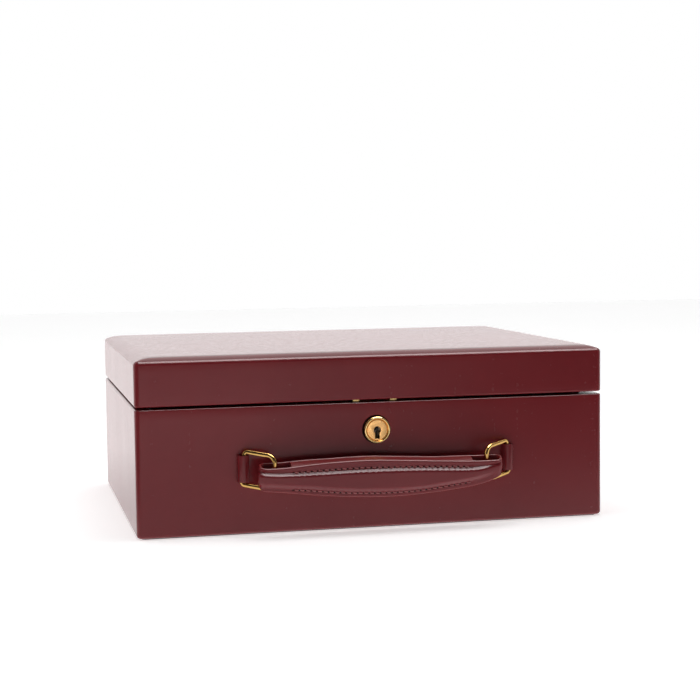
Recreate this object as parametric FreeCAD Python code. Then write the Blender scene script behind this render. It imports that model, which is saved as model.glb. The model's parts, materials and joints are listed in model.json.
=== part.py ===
import FreeCAD, Part

import math
import os

# Lockable leather jewellery case: a wooden carcass and lid covered in calf leather, a piano hinge at
# the back, a box lock in the front wall, and a stitched carrying handle on two brass rings.
# Millimetres. +Z up, the front faces -Y, and the origin is the centre of the underside.

V = FreeCAD.Vector

# ---------------------------------------------------------------- driving dimensions
WIDTH, DEPTH, HEIGHT = 300.0, 225.0, 110.8
BASE_RIM, LID_RIM = 79.4, 80.9          # leather rims of base and lid, with the gap between them
CORNER_R, LID_TOP_R = 4.5, 4.3          # vertical corners, and the lid's top edge
BOTTOM_R, RIM_R = 2.0, 1.0
LEATHER = 1.0                           # skin over the boards
WALL = 9.0                              # side boards
FLOOR_T, LID_TOP_T = 6.0, 6.0
BOARD_BOTTOM = 1.5
SUEDE_BOTTOM_T = 0.6                    # the underside panel stands this far below the leather
TURN_UNDER = 15.0                       # leather turned under the carcass
PANEL_INSET = 3.0                       # underside panel inside the outline
LINING, LID_LINING = 3.0, 1.2
LIP_HEIGHT, LIP_GAP = 4.0, 0.3          # the base lining's lip that locates the lid
PAD_BASE_T, PAD_LID_T = 3.5, 3.0

# hinge
HINGE_Z = (BASE_RIM + LID_RIM) / 2
HINGE_INSET = 1.5
HINGE_Y = DEPTH / 2 - HINGE_INSET
BEVEL_DEG = 50.0                        # rear rim bevels, which meet as the lid's stop
KNUCKLE_R, PIN_R, BORE_R, SWEEP_R = 2.0, 0.9, 0.95, 2.3
KNUCKLE, KNUCKLES, KNUCKLE_GAP = 16.0, 17, 0.3
LEAF_T, LEAF_SPLIT = 0.9, 0.2
HINGE_LENGTH = KNUCKLE * KNUCKLES
HINGE_SCREWS, HINGE_SCREW_PITCH, HINGE_SCREW_BACK = 9, 30.0, 0.6

# lock
LOCK_Z = 62.0
ROSETTE_R, BARREL_R, ROSETTE_OUT = 8.3, 6.7, 2.6
ROSETTE_SEAT, BARREL_SET, BARREL_EDGE = 2.5, 0.6, 0.35
RECESS_END = 1.2                        # the keyway stops this far inside the lock's back
RECESS_R = 8.9                          # dark relief in the leather around the rosette
KEYHOLE_R, KEYSLOT_W, KEYSLOT_DROP = 2.2, 2.7, 5.6
LOCK_HALF, LOCK_BOTTOM = 25.0, 50.5
LOCK_BACK, LOCK_DEPTH, LOCK_SHEET = 102.7, 6.8, 0.8
STAPLE_X, STAPLE_W, STAPLE_DROP = 12.0, 4.0, 9.0
STAPLE_LEG, STAPLE_EYE = 1.0, 2.6
FINGER, FINGER_H, FINGER_T = 5.5, 2.6, 1.8
FINGER_RISE = 0.9                       # fingers above the feet of the staples
BOLT_TIP_GAP, BOLT_POST = 0.8, 2.4
BAR_LOW, BAR_UNDER, BAR_END = 4.6, 2.5, 0.4      # over the keyhole, under the fingers, short of the tip
TALON_HALF, TALON_UP = 2.6, 1.6         # notch in the bolt that the key turns in
SPRING_T, SPRING_HALF, SPRING_X = 0.4, 1.6, 8.0
SPRING_FOOT, SPRING_BLADE, SPRING_RISE = 12.0, 11.0, 15.0
DRILL_PIN_OUT = 0.6
FACEPLATE_HALF, FACEPLATE_T = 32.0, 1.2
PLATE_FRONT, PLATE_REAR = 3.6, 3.4      # reach of the rim plates from the middle of the lock
FACEPLATE_SCREW_X, HASP_SCREW_X = 28.5, 24.0
SLOT_ROOM_X, SLOT_ROOM_Y, SLOT_DEPTH = 0.5, 0.35, 3.0

# handle
TAB_X, TAB_Z, TAB_H, TAB_T = 84.8, 41.6, 16.5, 1.0
TAB_INNER_R, TAB_STAND = 2.6, 2.6       # ring bar's axis stands this far off the leather
TAB_FOOT = 7.0
TACK_R, TACK_LENGTH, TACK_Z, TACK_SHIFT = 0.6, 4.5, 5.0, 0.5
WIRE_R, RING_REACH, RING_H = 1.35, 20.4, 20.6
RING_FAR_R, RING_NEAR_R = 5.2, 2.0
RING_SWING_DEG, RING_DROOP_DEG, RING_LIFT = 32.6, 7.0, 0.45   # a ring sits this far above its tab's centre
GRIP_HALF, GRIP_T, GRIP_SKIN = 77.3, 9.2, 1.7
EYE_INNER = 57.5
GRIP_TOP_END, GRIP_TOP_MID = 5.2, 8.3   # upper edge, at the eyes and at the middle
GRIP_LOW_X, GRIP_LOW_END, GRIP_LOW_MID = 70.0, -9.2, -15.8     # lower edge
GRIP_NOSE_R = 7.0                       # lower corners of the front layer
RING_NOTCH = -6.6                       # back layer and folds stop here, to ride above the ring
GRIP_Z, GRIP_TILT_DEG, GRIP_BACK = 38.3, 9.0, 0.3     # set back from the rings' bars, so they stay clear
RIB_OUT, RIB_TOP, RIB_BORDER = 1.9, 1.8, 3.6

# countersunk screws
SCREW_HEAD, SCREW_SHANK, SCREW_TIP, SCREW_LENGTH = 1.7, 0.8, 0.25, 7.0
SCREW_SLOT, SCREW_SLOT_DEPTH = 0.25, 0.5      # half width of the slot, and its depth

# tray
TRAY_BOTTOM, TRAY_H, TRAY_WALL, TRAY_PLAY = 44.5, 30.0, 3.0, 0.8
LEDGE_T = 6.0
DIVIDER = 2.0
DIVIDER_DROP = 5.0
ROLLS, ROLL_H, ROLL_GAP, ROLL_CLEAR = 5, 22.5, 0.6, 0.5
THUMB_R, THUMB_RISE = 11.0, 4.0         # notches in the end walls to lift the tray by

HALF_W, HALF_D = WIDTH / 2, DEPTH / 2
BOARD_W, BOARD_D = HALF_W - LEATHER, HALF_D - LEATHER            # outer faces of the boards
CAVITY_W, CAVITY_D = BOARD_W - WALL, BOARD_D - WALL              # inner faces of the boards
ROOM_W, ROOM_D = CAVITY_W - LINING, CAVITY_D - LINING            # inner faces of the base lining
FLOOR_TOP = BOARD_BOTTOM + FLOOR_T
RING_OUT = (TAB_STAND + RING_REACH * math.cos(math.radians(RING_DROOP_DEG))
            * math.sin(math.radians(RING_SWING_DEG)))


# ---------------------------------------------------------------- helpers
def box(x0, x1, y0, y1, z0, z1):
    return Part.makeBox(x1 - x0, y1 - y0, z1 - z0, V(x0, y0, z0))


def slab(half_w, half_d, z0, z1):
    return box(-half_w, half_w, -half_d, half_d, z0, z1)


def rod(radius, start, end):
    along = V(*end).sub(V(*start))
    return Part.makeCylinder(radius, along.Length, V(*start), along)


def edges_at(shape, z):
    return [e for e in shape.Edges if all(abs(v.Z - z) < 1e-4 for v in e.Vertexes)]


def upright_edges(shape):
    def upright(e):
        a, b = e.Vertexes[0], e.Vertexes[-1]
        return abs(a.X - b.X) < 1e-4 and abs(a.Y - b.Y) < 1e-4
    return [e for e in shape.Edges if upright(e)]


def rounded_slab(half_w, half_d, z0, z1, corner, top=0.0, bottom=0.0):
    shape = slab(half_w, half_d, z0, z1)
    shape = shape.makeFillet(corner, upright_edges(shape))
    if top:
        shape = shape.makeFillet(top, edges_at(shape, z1))
    if bottom:
        shape = shape.makeFillet(bottom, edges_at(shape, z0))
    return shape


def prism(points, x0, x1):
    """A solid of constant (y, z) outline between two x planes."""
    corners = [V(x0, y, z) for y, z in points]
    return Part.Face(Part.makePolygon(corners + corners[:1])).extrude(V(x1 - x0, 0, 0))


def joined(shapes):
    shapes = list(shapes)
    return shapes[0].multiFuse(shapes[1:]).removeSplitter()


def screw_room(x, y, z, way):
    """Head and shank of a countersunk screw, its head flush at z and its point towards way (+1 up)."""
    cone = SCREW_HEAD - SCREW_SHANK
    head = Part.makeCone(SCREW_HEAD, SCREW_SHANK, cone, V(x, y, z), V(0, 0, way))
    shank = Part.makeCone(SCREW_SHANK, SCREW_TIP, SCREW_LENGTH - cone, V(x, y, z + way * cone), V(0, 0, way))
    return head.fuse(shank)


def countersunk(x, y, z, way):
    slot = box(x - SCREW_HEAD, x + SCREW_HEAD, y - SCREW_SLOT, y + SCREW_SLOT, z - SCREW_SLOT_DEPTH,
               z + SCREW_SLOT_DEPTH)
    return screw_room(x, y, z, way).cut(slot)


def bevel(side, offset=0.0):
    """What the rear rim bevel takes off the base (side -1) or the lid (side +1)."""
    slope = math.radians(BEVEL_DEG)
    reach = 20.0
    y = HINGE_Y - offset * math.sin(slope)
    z = HINGE_Z + side * offset * math.cos(slope)
    far = (y + reach, z + side * reach * math.tan(slope))
    return prism([(y, z), far, (y + reach, z - side * reach), (y, z - side * reach)],
                 -HALF_W - 5, HALF_W + 5)


def hinge_room():
    """Space swept by the hinge barrel."""
    end = HINGE_LENGTH / 2 + KNUCKLE_GAP
    return rod(SWEEP_R, (-end, HINGE_Y, HINGE_Z), (end, HINGE_Y, HINGE_Z))


def leaf_box(side):
    inner = HINGE_Z + side * LEAF_SPLIT
    outer = HINGE_Z + side * (LEAF_SPLIT + LEAF_T)
    half = HINGE_LENGTH / 2
    return box(-half, half, CAVITY_D + LIP_GAP, HINGE_Y, min(inner, outer), max(inner, outer))


# ---------------------------------------------------------------- carcass and lid envelopes
def base_outer():
    shape = rounded_slab(HALF_W, HALF_D, SUEDE_BOTTOM_T, BASE_RIM, CORNER_R, RIM_R, BOTTOM_R)
    return shape.cut(bevel(-1))


def base_boards():
    shape = rounded_slab(BOARD_W, BOARD_D, BOARD_BOTTOM, BASE_RIM - LEATHER, CORNER_R - LEATHER)
    return shape.cut(bevel(-1, LEATHER)).cut(hinge_room()).cut(leaf_box(-1))


def lid_outer():
    shape = rounded_slab(HALF_W, HALF_D, LID_RIM, HEIGHT, CORNER_R, LID_TOP_R, RIM_R)
    return shape.cut(bevel(1))


def lid_boards():
    top = HEIGHT - LEATHER
    shape = rounded_slab(BOARD_W, BOARD_D, LID_RIM + LEATHER, top, CORNER_R - LEATHER,
                         LID_TOP_R - LEATHER)
    return shape.cut(bevel(1, LEATHER)).cut(hinge_room()).cut(leaf_box(1))


def side_boards(envelope, z0, z1):
    """The four walls cut from an envelope: front and back run full width, the ends fit between."""
    far = 400.0
    return {
        "front": envelope.common(box(-far, far, -far, -CAVITY_D, z0, z1)),
        "back": envelope.common(box(-far, far, CAVITY_D, far, z0, z1)),
        "left": envelope.common(box(-far, -CAVITY_W, -CAVITY_D, CAVITY_D, z0, z1)),
        "right": envelope.common(box(CAVITY_W, far, -CAVITY_D, CAVITY_D, z0, z1)),
    }


# ---------------------------------------------------------------- lock
LOCK_FRONT = -(LOCK_BACK + LOCK_DEPTH)
LOCK_REAR = -LOCK_BACK
LOCK_TOP = BASE_RIM - FACEPLATE_T
LOCK_MID = (LOCK_FRONT + LOCK_REAR) / 2
STAPLE_FOOT = LID_RIM - STAPLE_DROP
FINGER_Z = STAPLE_FOOT + STAPLE_LEG + FINGER_RISE


def keyhole():
    """Round hole with a slot below it, cut along Y."""
    y0, y1 = LOCK_FRONT - 12, LOCK_REAR - RECESS_END
    hole = rod(KEYHOLE_R, (0, y0, LOCK_Z), (0, y1, LOCK_Z))
    return hole.fuse(box(-KEYSLOT_W / 2, KEYSLOT_W / 2, y0, y1, LOCK_Z - KEYSLOT_DROP, LOCK_Z))


def lock_case():
    outer = box(-LOCK_HALF, LOCK_HALF, LOCK_FRONT, LOCK_REAR - LOCK_SHEET, LOCK_BOTTOM, LOCK_TOP)
    s = LOCK_SHEET
    inner = box(-LOCK_HALF + s, LOCK_HALF - s, LOCK_FRONT + s, LOCK_REAR, LOCK_BOTTOM + s, LOCK_TOP)
    return outer.cut(inner).cut(keyhole())


def lock_cap():
    return box(-LOCK_HALF, LOCK_HALF, LOCK_REAR - LOCK_SHEET, LOCK_REAR, LOCK_BOTTOM, LOCK_TOP)


def staple_slots():
    half_x = STAPLE_W / 2 + SLOT_ROOM_X
    half_y = STAPLE_EYE / 2 + STAPLE_LEG + SLOT_ROOM_Y
    low = LOCK_TOP - SLOT_DEPTH
    return [box(x - half_x, x + half_x, LOCK_MID - half_y, LOCK_MID + half_y, low, BASE_RIM + 1)
            for x in (-STAPLE_X, STAPLE_X)]


def rim_plate(z0):
    return box(-FACEPLATE_HALF, FACEPLATE_HALF, LOCK_MID - PLATE_FRONT, LOCK_MID + PLATE_REAR,
               z0, z0 + FACEPLATE_T)


def faceplate_blank():
    return rim_plate(BASE_RIM - FACEPLATE_T)


def faceplate_screws(make):
    return [make(x, LOCK_MID, BASE_RIM, -1) for x in (-FACEPLATE_SCREW_X, FACEPLATE_SCREW_X)]


def lock_barrel():
    front = -(HALF_D + ROSETTE_OUT - BARREL_SET)
    body = rod(BARREL_R, (0, front, LOCK_Z), (0, LOCK_FRONT, LOCK_Z))
    rim = [e for e in body.Edges if abs(e.CenterOfMass.y - front) < 1e-4]
    return body.makeChamfer(BARREL_EDGE, rim).cut(keyhole())


def lock_rosette():
    """Bevelled ring around the barrel, seated on a shoulder inside the front board."""
    inner, foot, lip = BARREL_R + 0.05, -(HALF_D - ROSETTE_SEAT), -(HALF_D + ROSETTE_OUT)
    outline = [(inner, foot), (ROSETTE_R, foot), (ROSETTE_R, lip + 1.3), (ROSETTE_R - 0.35, lip + 0.55),
               (ROSETTE_R - 0.95, lip), (inner + 0.25, lip), (inner, lip + 0.35)]
    corners = [V(r, y, LOCK_Z) for r, y in outline]
    face = Part.Face(Part.makePolygon(corners + corners[:1]))
    return face.revolve(V(0, 0, LOCK_Z), V(0, 1, 0), 360)


def lock_bolt():
    """Sliding bolt: a bar with two fingers that pass through the hasp's staples."""
    y0, y1 = LOCK_MID - FINGER_T / 2, LOCK_MID + FINGER_T / 2
    tips = [x - STAPLE_W / 2 - BOLT_TIP_GAP for x in (-STAPLE_X, STAPLE_X)]
    bar_low, bar_top = LOCK_Z + BAR_LOW, FINGER_Z - BAR_UNDER
    start = tips[0] - FINGER - BOLT_POST
    pieces = [box(start, tips[1] - BAR_END, y0, y1, bar_low, bar_top)]
    for tip in tips:
        root = tip - FINGER - BOLT_POST
        pieces.append(box(root, root + BOLT_POST, y0, y1, bar_low, FINGER_Z + FINGER_H))
        pieces.append(box(root, tip, y0, y1, FINGER_Z, FINGER_Z + FINGER_H))
    talon = box(-TALON_HALF, TALON_HALF, y0 - 1, y1 + 1, bar_low - 1, bar_low + TALON_UP)
    return joined(pieces).cut(talon)


def lock_spring():
    """Leaf spring bent from strip, riveted to the case floor, that holds the bolt at either end."""
    x, y0, y1 = SPRING_X, LOCK_MID - SPRING_HALF, LOCK_MID + SPRING_HALF
    floor = LOCK_BOTTOM + LOCK_SHEET
    top = floor + SPRING_RISE
    foot = box(x, x + SPRING_FOOT, y0, y1, floor, floor + SPRING_T)
    riser = box(x, x + SPRING_T, y0, y1, floor, top)
    blade = box(x, x + SPRING_BLADE, y0, y1, top - SPRING_T, top)
    return joined([foot, riser, blade])


def drill_pin():
    return rod(PIN_R, (0, LOCK_REAR - LOCK_SHEET, LOCK_Z), (0, -(HALF_D + DRILL_PIN_OUT), LOCK_Z))


def hasp():
    """Link plate let into the lid's front rim, with two staples that drop into the lock."""
    pieces = [rim_plate(LID_RIM)]
    side = STAPLE_EYE / 2 + STAPLE_LEG
    for x in (-STAPLE_X, STAPLE_X):
        leg = box(x - STAPLE_W / 2, x + STAPLE_W / 2, LOCK_MID - side, LOCK_MID + side,
                  STAPLE_FOOT, LID_RIM)
        eye = box(x - STAPLE_W, x + STAPLE_W, LOCK_MID - STAPLE_EYE / 2, LOCK_MID + STAPLE_EYE / 2,
                  STAPLE_FOOT + STAPLE_LEG, LID_RIM - 2.0)
        pieces.append(leg.cut(eye))
    return joined(pieces)


def hasp_screws(make):
    return [make(x, LOCK_MID, LID_RIM, 1) for x in (-HASP_SCREW_X, HASP_SCREW_X)]


# ---------------------------------------------------------------- hinge
def hinge_leaf(side, first):
    """One leaf of the piano hinge; its knuckles are every second one, starting at first."""
    half = HINGE_LENGTH / 2
    leaf = leaf_box(side)
    knuckles, clearances = [], []
    for i in range(KNUCKLES):
        x0, x1 = -half + i * KNUCKLE, -half + (i + 1) * KNUCKLE
        if i % 2 == first:
            trim = KNUCKLE_GAP / 2
            knuckles.append(rod(KNUCKLE_R, (x0 + trim, HINGE_Y, HINGE_Z), (x1 - trim, HINGE_Y, HINGE_Z)))
        else:
            grow = KNUCKLE_GAP / 2
            clearances.append(rod(SWEEP_R, (x0 - grow, HINGE_Y, HINGE_Z), (x1 + grow, HINGE_Y, HINGE_Z)))
    leaf = joined([leaf.cut(Part.makeCompound(clearances))] + knuckles)
    return leaf.cut(rod(BORE_R, (-half - 1, HINGE_Y, HINGE_Z), (half + 1, HINGE_Y, HINGE_Z)))


def hinge_screws(side, make):
    y = (CAVITY_D + HINGE_Y) / 2 - HINGE_SCREW_BACK
    z = HINGE_Z + side * LEAF_SPLIT
    first = -HINGE_SCREW_PITCH * (HINGE_SCREWS - 1) / 2
    return [make(first + HINGE_SCREW_PITCH * i, y, z, side) for i in range(HINGE_SCREWS)]


# ---------------------------------------------------------------- handle
TAB_AXIS_Y = -(HALF_D + TAB_STAND)


def tab_profile(side, inner, outer, foot):
    """U-shaped strap around the ring's bar, through the front board, with feet turned out behind it."""
    x = side * TAB_X
    rear = -CAVITY_D
    nose = rod(outer, (x, TAB_AXIS_Y, 0), (x, TAB_AXIS_Y, 1)).cut(
        rod(inner, (x, TAB_AXIS_Y, -1), (x, TAB_AXIS_Y, 2)))
    nose = nose.common(box(x - 9, x + 9, TAB_AXIS_Y - 9, TAB_AXIS_Y, 0, 1))
    legs = [box(x - outer, x - inner, TAB_AXIS_Y, rear, 0, 1),
            box(x + inner, x + outer, TAB_AXIS_Y, rear, 0, 1)]
    feet = [box(x - outer - foot, x - inner, rear - TAB_T, rear, 0, 1),
            box(x + inner, x + outer + foot, rear - TAB_T, rear, 0, 1)]
    return joined([nose] + legs + feet)


def handle_tab(side):
    low, high = TAB_Z - TAB_H / 2, TAB_Z + TAB_H / 2
    base = tab_profile(side, TAB_INNER_R, TAB_INNER_R + TAB_T, TAB_FOOT)
    face = [f for f in base.Faces if abs(f.CenterOfMass.z) < 1e-4 and abs(f.normalAt(0, 0).z) > 0.9][0]
    solid = face.extrude(V(0, 0, high - low))
    solid.translate(V(0, 0, low))
    return solid


def tab_tacks(side):
    found = []
    for way in (-1, 1):
        for z in (TAB_Z - TACK_Z, TAB_Z + TACK_Z):
            x = side * TAB_X + way * (TAB_INNER_R + TAB_T + TAB_FOOT / 2 + TACK_SHIFT)
            found.append(rod(TACK_R, (x, -CAVITY_D, z), (x, -CAVITY_D - TACK_LENGTH, z)))
    return found


def ring_path():
    """Rounded rectangle in (u, z): the near bar lies on u = 0 and the far bar at the reach."""
    half = RING_H / 2
    near, far, reach = RING_NEAR_R, RING_FAR_R, RING_REACH
    diagonal = math.sqrt(0.5)

    def p(u, z):
        return V(u, 0, z)

    def corner(cu, cz, r, su, sz):
        """Quarter circle about (cu, cz), bulging towards (su, sz)."""
        middle = p(cu + su * r * diagonal, cz + sz * r * diagonal)
        return p(cu + su * r, cz), middle, p(cu, cz + sz * r)

    a = corner(near, half - near, near, -1, 1)
    b = corner(reach - far, half - far, far, 1, 1)
    c = corner(reach - far, -half + far, far, 1, -1)
    d = corner(near, -half + near, near, -1, -1)
    edges = [
        Part.Arc(*a).toShape(),
        Part.LineSegment(a[2], b[2]).toShape(),
        Part.Arc(b[2], b[1], b[0]).toShape(),
        Part.LineSegment(b[0], c[0]).toShape(),
        Part.Arc(*c).toShape(),
        Part.LineSegment(c[2], d[2]).toShape(),
        Part.Arc(d[2], d[1], d[0]).toShape(),
        Part.LineSegment(d[0], a[0]).toShape(),
    ]
    return Part.Wire(edges), a[2]


def handle_ring(side):
    path, start = ring_path()
    circle = Part.Wire([Part.makeCircle(WIRE_R, start, V(1, 0, 0))])
    # the path is opened at its start so that the section is square to a straight run
    ordered = Part.Wire(Part.__sortEdges__(path.Edges[1:] + path.Edges[:1]))
    ring = ordered.makePipeShell([circle], True, True)
    if ring.Volume < 0:
        ring.reverse()
    ring.rotate(V(0, 0, 0), V(0, 1, 0), RING_DROOP_DEG)
    if side > 0:
        ring = ring.mirror(V(0, 0, 0), V(1, 0, 0))
    ring.rotate(V(0, 0, 0), V(0, 0, 1), side * RING_SWING_DEG)
    ring.translate(V(side * TAB_X, TAB_AXIS_Y, TAB_Z + RING_LIFT))
    return ring


def grip_outline():
    """Closed (x, z) outline: a top that swells a little, and a deep bowed lower edge."""
    end, level, low_x = GRIP_HALF + 1, EYE_INNER, GRIP_LOW_X
    nose = GRIP_LOW_END + GRIP_NOSE_R
    top_left, top_right = V(-level, 0, GRIP_TOP_END), V(level, 0, GRIP_TOP_END)
    low_left, low_right = V(-low_x, 0, GRIP_LOW_END), V(low_x, 0, GRIP_LOW_END)
    edges = [
        Part.LineSegment(V(-end, 0, GRIP_TOP_END), top_left).toShape(),
        Part.Arc(top_left, V(0, 0, GRIP_TOP_MID), top_right).toShape(),
        Part.LineSegment(top_right, V(end, 0, GRIP_TOP_END)).toShape(),
        Part.LineSegment(V(end, 0, GRIP_TOP_END), V(end, 0, nose)).toShape(),
        nose_curve(V(end, 0, nose), low_right),
        Part.Arc(low_right, V(0, 0, GRIP_LOW_MID), low_left).toShape(),
        nose_curve(low_left, V(-end, 0, nose)),
        Part.LineSegment(V(-end, 0, nose), V(-end, 0, GRIP_TOP_END)).toShape(),
    ]
    return Part.Face(Part.Wire(edges))


def nose_curve(start, end):
    """Bulging corner between the end of the grip and its lower edge."""
    bulge = 1.6
    outward = V(math.copysign(1, start.x), 0, -1).normalize()
    middle = (start + end) * 0.5 + outward * bulge
    return Part.Arc(start, middle, end).toShape()


def grip_slice(y0, y1):
    face = grip_outline()
    face.translate(V(0, y0, 0))
    return face.extrude(V(0, y1 - y0, 0))


def stadium(half_x, half_y):
    """Upright bar with round ends, seen from above."""
    tall = 60.0
    body = box(-half_x + half_y, half_x - half_y, -half_y, half_y, -tall, tall)
    ends = [Part.makeCylinder(half_y, 2 * tall, V(s * (half_x - half_y), 0, -tall)) for s in (-1, 1)]
    return joined([body] + ends)


def placed_grip(shape):
    """From the grip's own frame to where it hangs in the rings."""
    shape.rotate(V(0, 0, 0), V(1, 0, 0), GRIP_TILT_DEG)
    shape.translate(V(0, -(HALF_D + RING_OUT - GRIP_BACK), GRIP_Z))
    return shape


def grip_rib():
    """Stuffed middle of the front face, between the two rows of stitches."""
    front = -GRIP_T / 2
    reach = GRIP_HALF - GRIP_T / 2
    low_end, low_mid = V(reach, 0, GRIP_LOW_END + RIB_BORDER), V(0, 0, GRIP_LOW_MID + RIB_BORDER)
    low_start = V(-low_end.x, 0, low_end.z)
    edges = [
        Part.LineSegment(V(-reach, 0, RIB_TOP), V(reach, 0, RIB_TOP)).toShape(),
        Part.LineSegment(V(reach, 0, RIB_TOP), low_end).toShape(),
        Part.Arc(low_end, low_mid, low_start).toShape(),
        Part.LineSegment(low_start, V(-reach, 0, RIB_TOP)).toShape(),
    ]
    face = Part.Face(Part.Wire(edges))
    face.translate(V(0, front - RIB_OUT, 0))
    return face.extrude(V(0, RIB_OUT + 0.5, 0))


def ring_notches():
    """Room for the rings' lower bars: at the eyes only the front layer reaches the lower edge."""
    inner = -(GRIP_T / 2 - GRIP_SKIN)
    return [box(x0, x1, inner, GRIP_T, -40, RING_NOTCH)
            for x0, x1 in ((-GRIP_HALF - 1, -EYE_INNER), (EYE_INNER, GRIP_HALF + 1))]


def grip_leather():
    half = GRIP_T / 2
    outer = grip_slice(-half, half).common(stadium(GRIP_HALF, half))
    inner = stadium(GRIP_HALF - GRIP_SKIN, half - GRIP_SKIN)
    band = outer.cut(inner)
    for notch in ring_notches():
        band = band.cut(notch)
    return placed_grip(band.fuse(grip_rib()).removeSplitter())


def grip_core():
    half = GRIP_T / 2 - GRIP_SKIN
    core = grip_slice(-half, half).common(box(-EYE_INNER, EYE_INNER, -half, half, -40, 40))
    return placed_grip(core)


# ---------------------------------------------------------------- tray
TRAY_W, TRAY_D = ROOM_W - TRAY_PLAY, ROOM_D - TRAY_PLAY
TRAY_TOP = TRAY_BOTTOM + TRAY_H
TRAY_FLOOR_TOP = TRAY_BOTTOM + TRAY_WALL
SPLIT_Y = 20.0                           # centre of the long divider
CROSS_X = (-68.0, 0.0, 68.0)             # cross dividers behind it


def tray_inner():
    return TRAY_W - TRAY_WALL, TRAY_D - TRAY_WALL


def tray_walls():
    w, d = tray_inner()
    frame = slab(TRAY_W, TRAY_D, TRAY_FLOOR_TOP, TRAY_TOP).cut(slab(w, d, TRAY_BOTTOM, TRAY_TOP + 1))
    z = TRAY_TOP + THUMB_RISE
    for side in (-1, 1):
        notch = rod(THUMB_R, (side * (w - 5), 0, z), (side * (TRAY_W + 5), 0, z))
        frame = frame.cut(notch)
    return frame


def tray_long_divider():
    w, _ = tray_inner()
    return box(-w, w, SPLIT_Y - DIVIDER / 2, SPLIT_Y + DIVIDER / 2, TRAY_FLOOR_TOP,
               TRAY_TOP - DIVIDER_DROP)


def tray_cross_dividers():
    _, d = tray_inner()
    top = TRAY_TOP - DIVIDER_DROP
    rear = [box(x - DIVIDER / 2, x + DIVIDER / 2, SPLIT_Y + DIVIDER / 2, d, TRAY_FLOOR_TOP, top)
            for x in CROSS_X]
    front = box(-DIVIDER / 2, DIVIDER / 2, -d, SPLIT_Y - DIVIDER / 2, TRAY_FLOOR_TOP, top)
    return rear + [front]


def ring_roll(i):
    """One padded roll with a round top; rings are pushed down between neighbours."""
    w, d = tray_inner()
    x0, x1 = -w + ROLL_CLEAR, -DIVIDER / 2 - ROLL_CLEAR
    front, back = -d + ROLL_CLEAR, SPLIT_Y - DIVIDER / 2 - ROLL_CLEAR
    pitch = (back - front) / ROLLS
    y0 = front + i * pitch + ROLL_GAP / 2
    y1 = front + (i + 1) * pitch - ROLL_GAP / 2
    half = (y1 - y0) / 2
    shoulder = TRAY_FLOOR_TOP + ROLL_H - half
    body = box(x0, x1, y0, y1, TRAY_FLOOR_TOP, shoulder)
    dome = rod(half, (x0, y0 + half, shoulder), (x1, y0 + half, shoulder))
    return joined([body, dome])


# ---------------------------------------------------------------- build
def build_case(parts):
    boards = side_boards(base_boards(), BOARD_BOTTOM, BASE_RIM)
    lower = base_boards().common(slab(CAVITY_W, CAVITY_D, BOARD_BOTTOM, FLOOR_TOP))

    leather = base_outer()
    leather = leather.cut(rounded_slab(BOARD_W, BOARD_D, BOARD_BOTTOM, BASE_RIM - LEATHER,
                                       CORNER_R - LEATHER).cut(bevel(-1, LEATHER)))
    leather = leather.cut(slab(CAVITY_W, CAVITY_D, BOARD_BOTTOM, BASE_RIM + 1))
    leather = leather.cut(slab(HALF_W - TURN_UNDER, HALF_D - TURN_UNDER, 0, BOARD_BOTTOM))
    hinge_holes = Part.makeCompound(hinge_screws(-1, screw_room))
    leather = leather.cut(hinge_room()).cut(leaf_box(-1)).cut(hinge_holes)
    leather = leather.cut(faceplate_blank())
    leather = leather.cut(rod(RECESS_R, (0, -HALF_D - 2, LOCK_Z), (0, -BOARD_D, LOCK_Z)))

    front = boards["front"].cut(box(-LOCK_HALF, LOCK_HALF, LOCK_FRONT, -CAVITY_D, LOCK_BOTTOM, LOCK_TOP))
    front = front.cut(faceplate_blank())
    front = front.cut(rod(RECESS_R, (0, -HALF_D, LOCK_Z), (0, -(HALF_D - ROSETTE_SEAT), LOCK_Z)))
    front = front.cut(rod(BARREL_R, (0, -HALF_D, LOCK_Z), (0, LOCK_FRONT, LOCK_Z)))

    for side, name in ((-1, "left"), (1, "right")):
        tab = handle_tab(side)
        tacks = Part.makeCompound(tab_tacks(side))
        leather = leather.cut(tab)
        front = front.cut(tab).cut(tacks)
        parts["handle_tab_" + name] = tab.cut(tacks)
    parts["tab_tacks"] = Part.makeCompound(tab_tacks(-1) + tab_tacks(1))

    screw_holes = Part.makeCompound(faceplate_screws(screw_room))
    front = front.cut(screw_holes)
    plate = faceplate_blank()
    for slot in staple_slots():
        plate = plate.cut(slot)
    parts["lock_faceplate"] = plate.cut(screw_holes)
    parts["lock_screws"] = Part.makeCompound(faceplate_screws(countersunk))

    parts["lock_case"] = lock_case()
    parts["lock_cap"] = lock_cap()
    parts["lock_barrel"] = lock_barrel()
    parts["lock_rosette"] = lock_rosette()
    parts["lock_drill_pin"] = drill_pin()
    parts["lock_spring"] = lock_spring()

    parts["hinge_leaf_base"] = hinge_leaf(-1, 0).cut(hinge_holes)
    parts["hinge_screws_base"] = Part.makeCompound(hinge_screws(-1, countersunk))
    half = HINGE_LENGTH / 2
    parts["hinge_pin"] = rod(PIN_R, (-half, HINGE_Y, HINGE_Z), (half, HINGE_Y, HINGE_Z))

    parts["base_leather"] = leather
    parts["front_board"] = front
    parts["back_board"] = boards["back"].cut(hinge_holes)
    parts["left_board"] = boards["left"]
    parts["right_board"] = boards["right"]
    parts["floor_board"] = lower

    under = rounded_slab(HALF_W - PANEL_INSET, HALF_D - PANEL_INSET, 0, SUEDE_BOTTOM_T, CORNER_R - 2)
    plug = slab(HALF_W - TURN_UNDER, HALF_D - TURN_UNDER, 0, BOARD_BOTTOM)
    parts["underside_panel"] = joined([under, plug])


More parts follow.
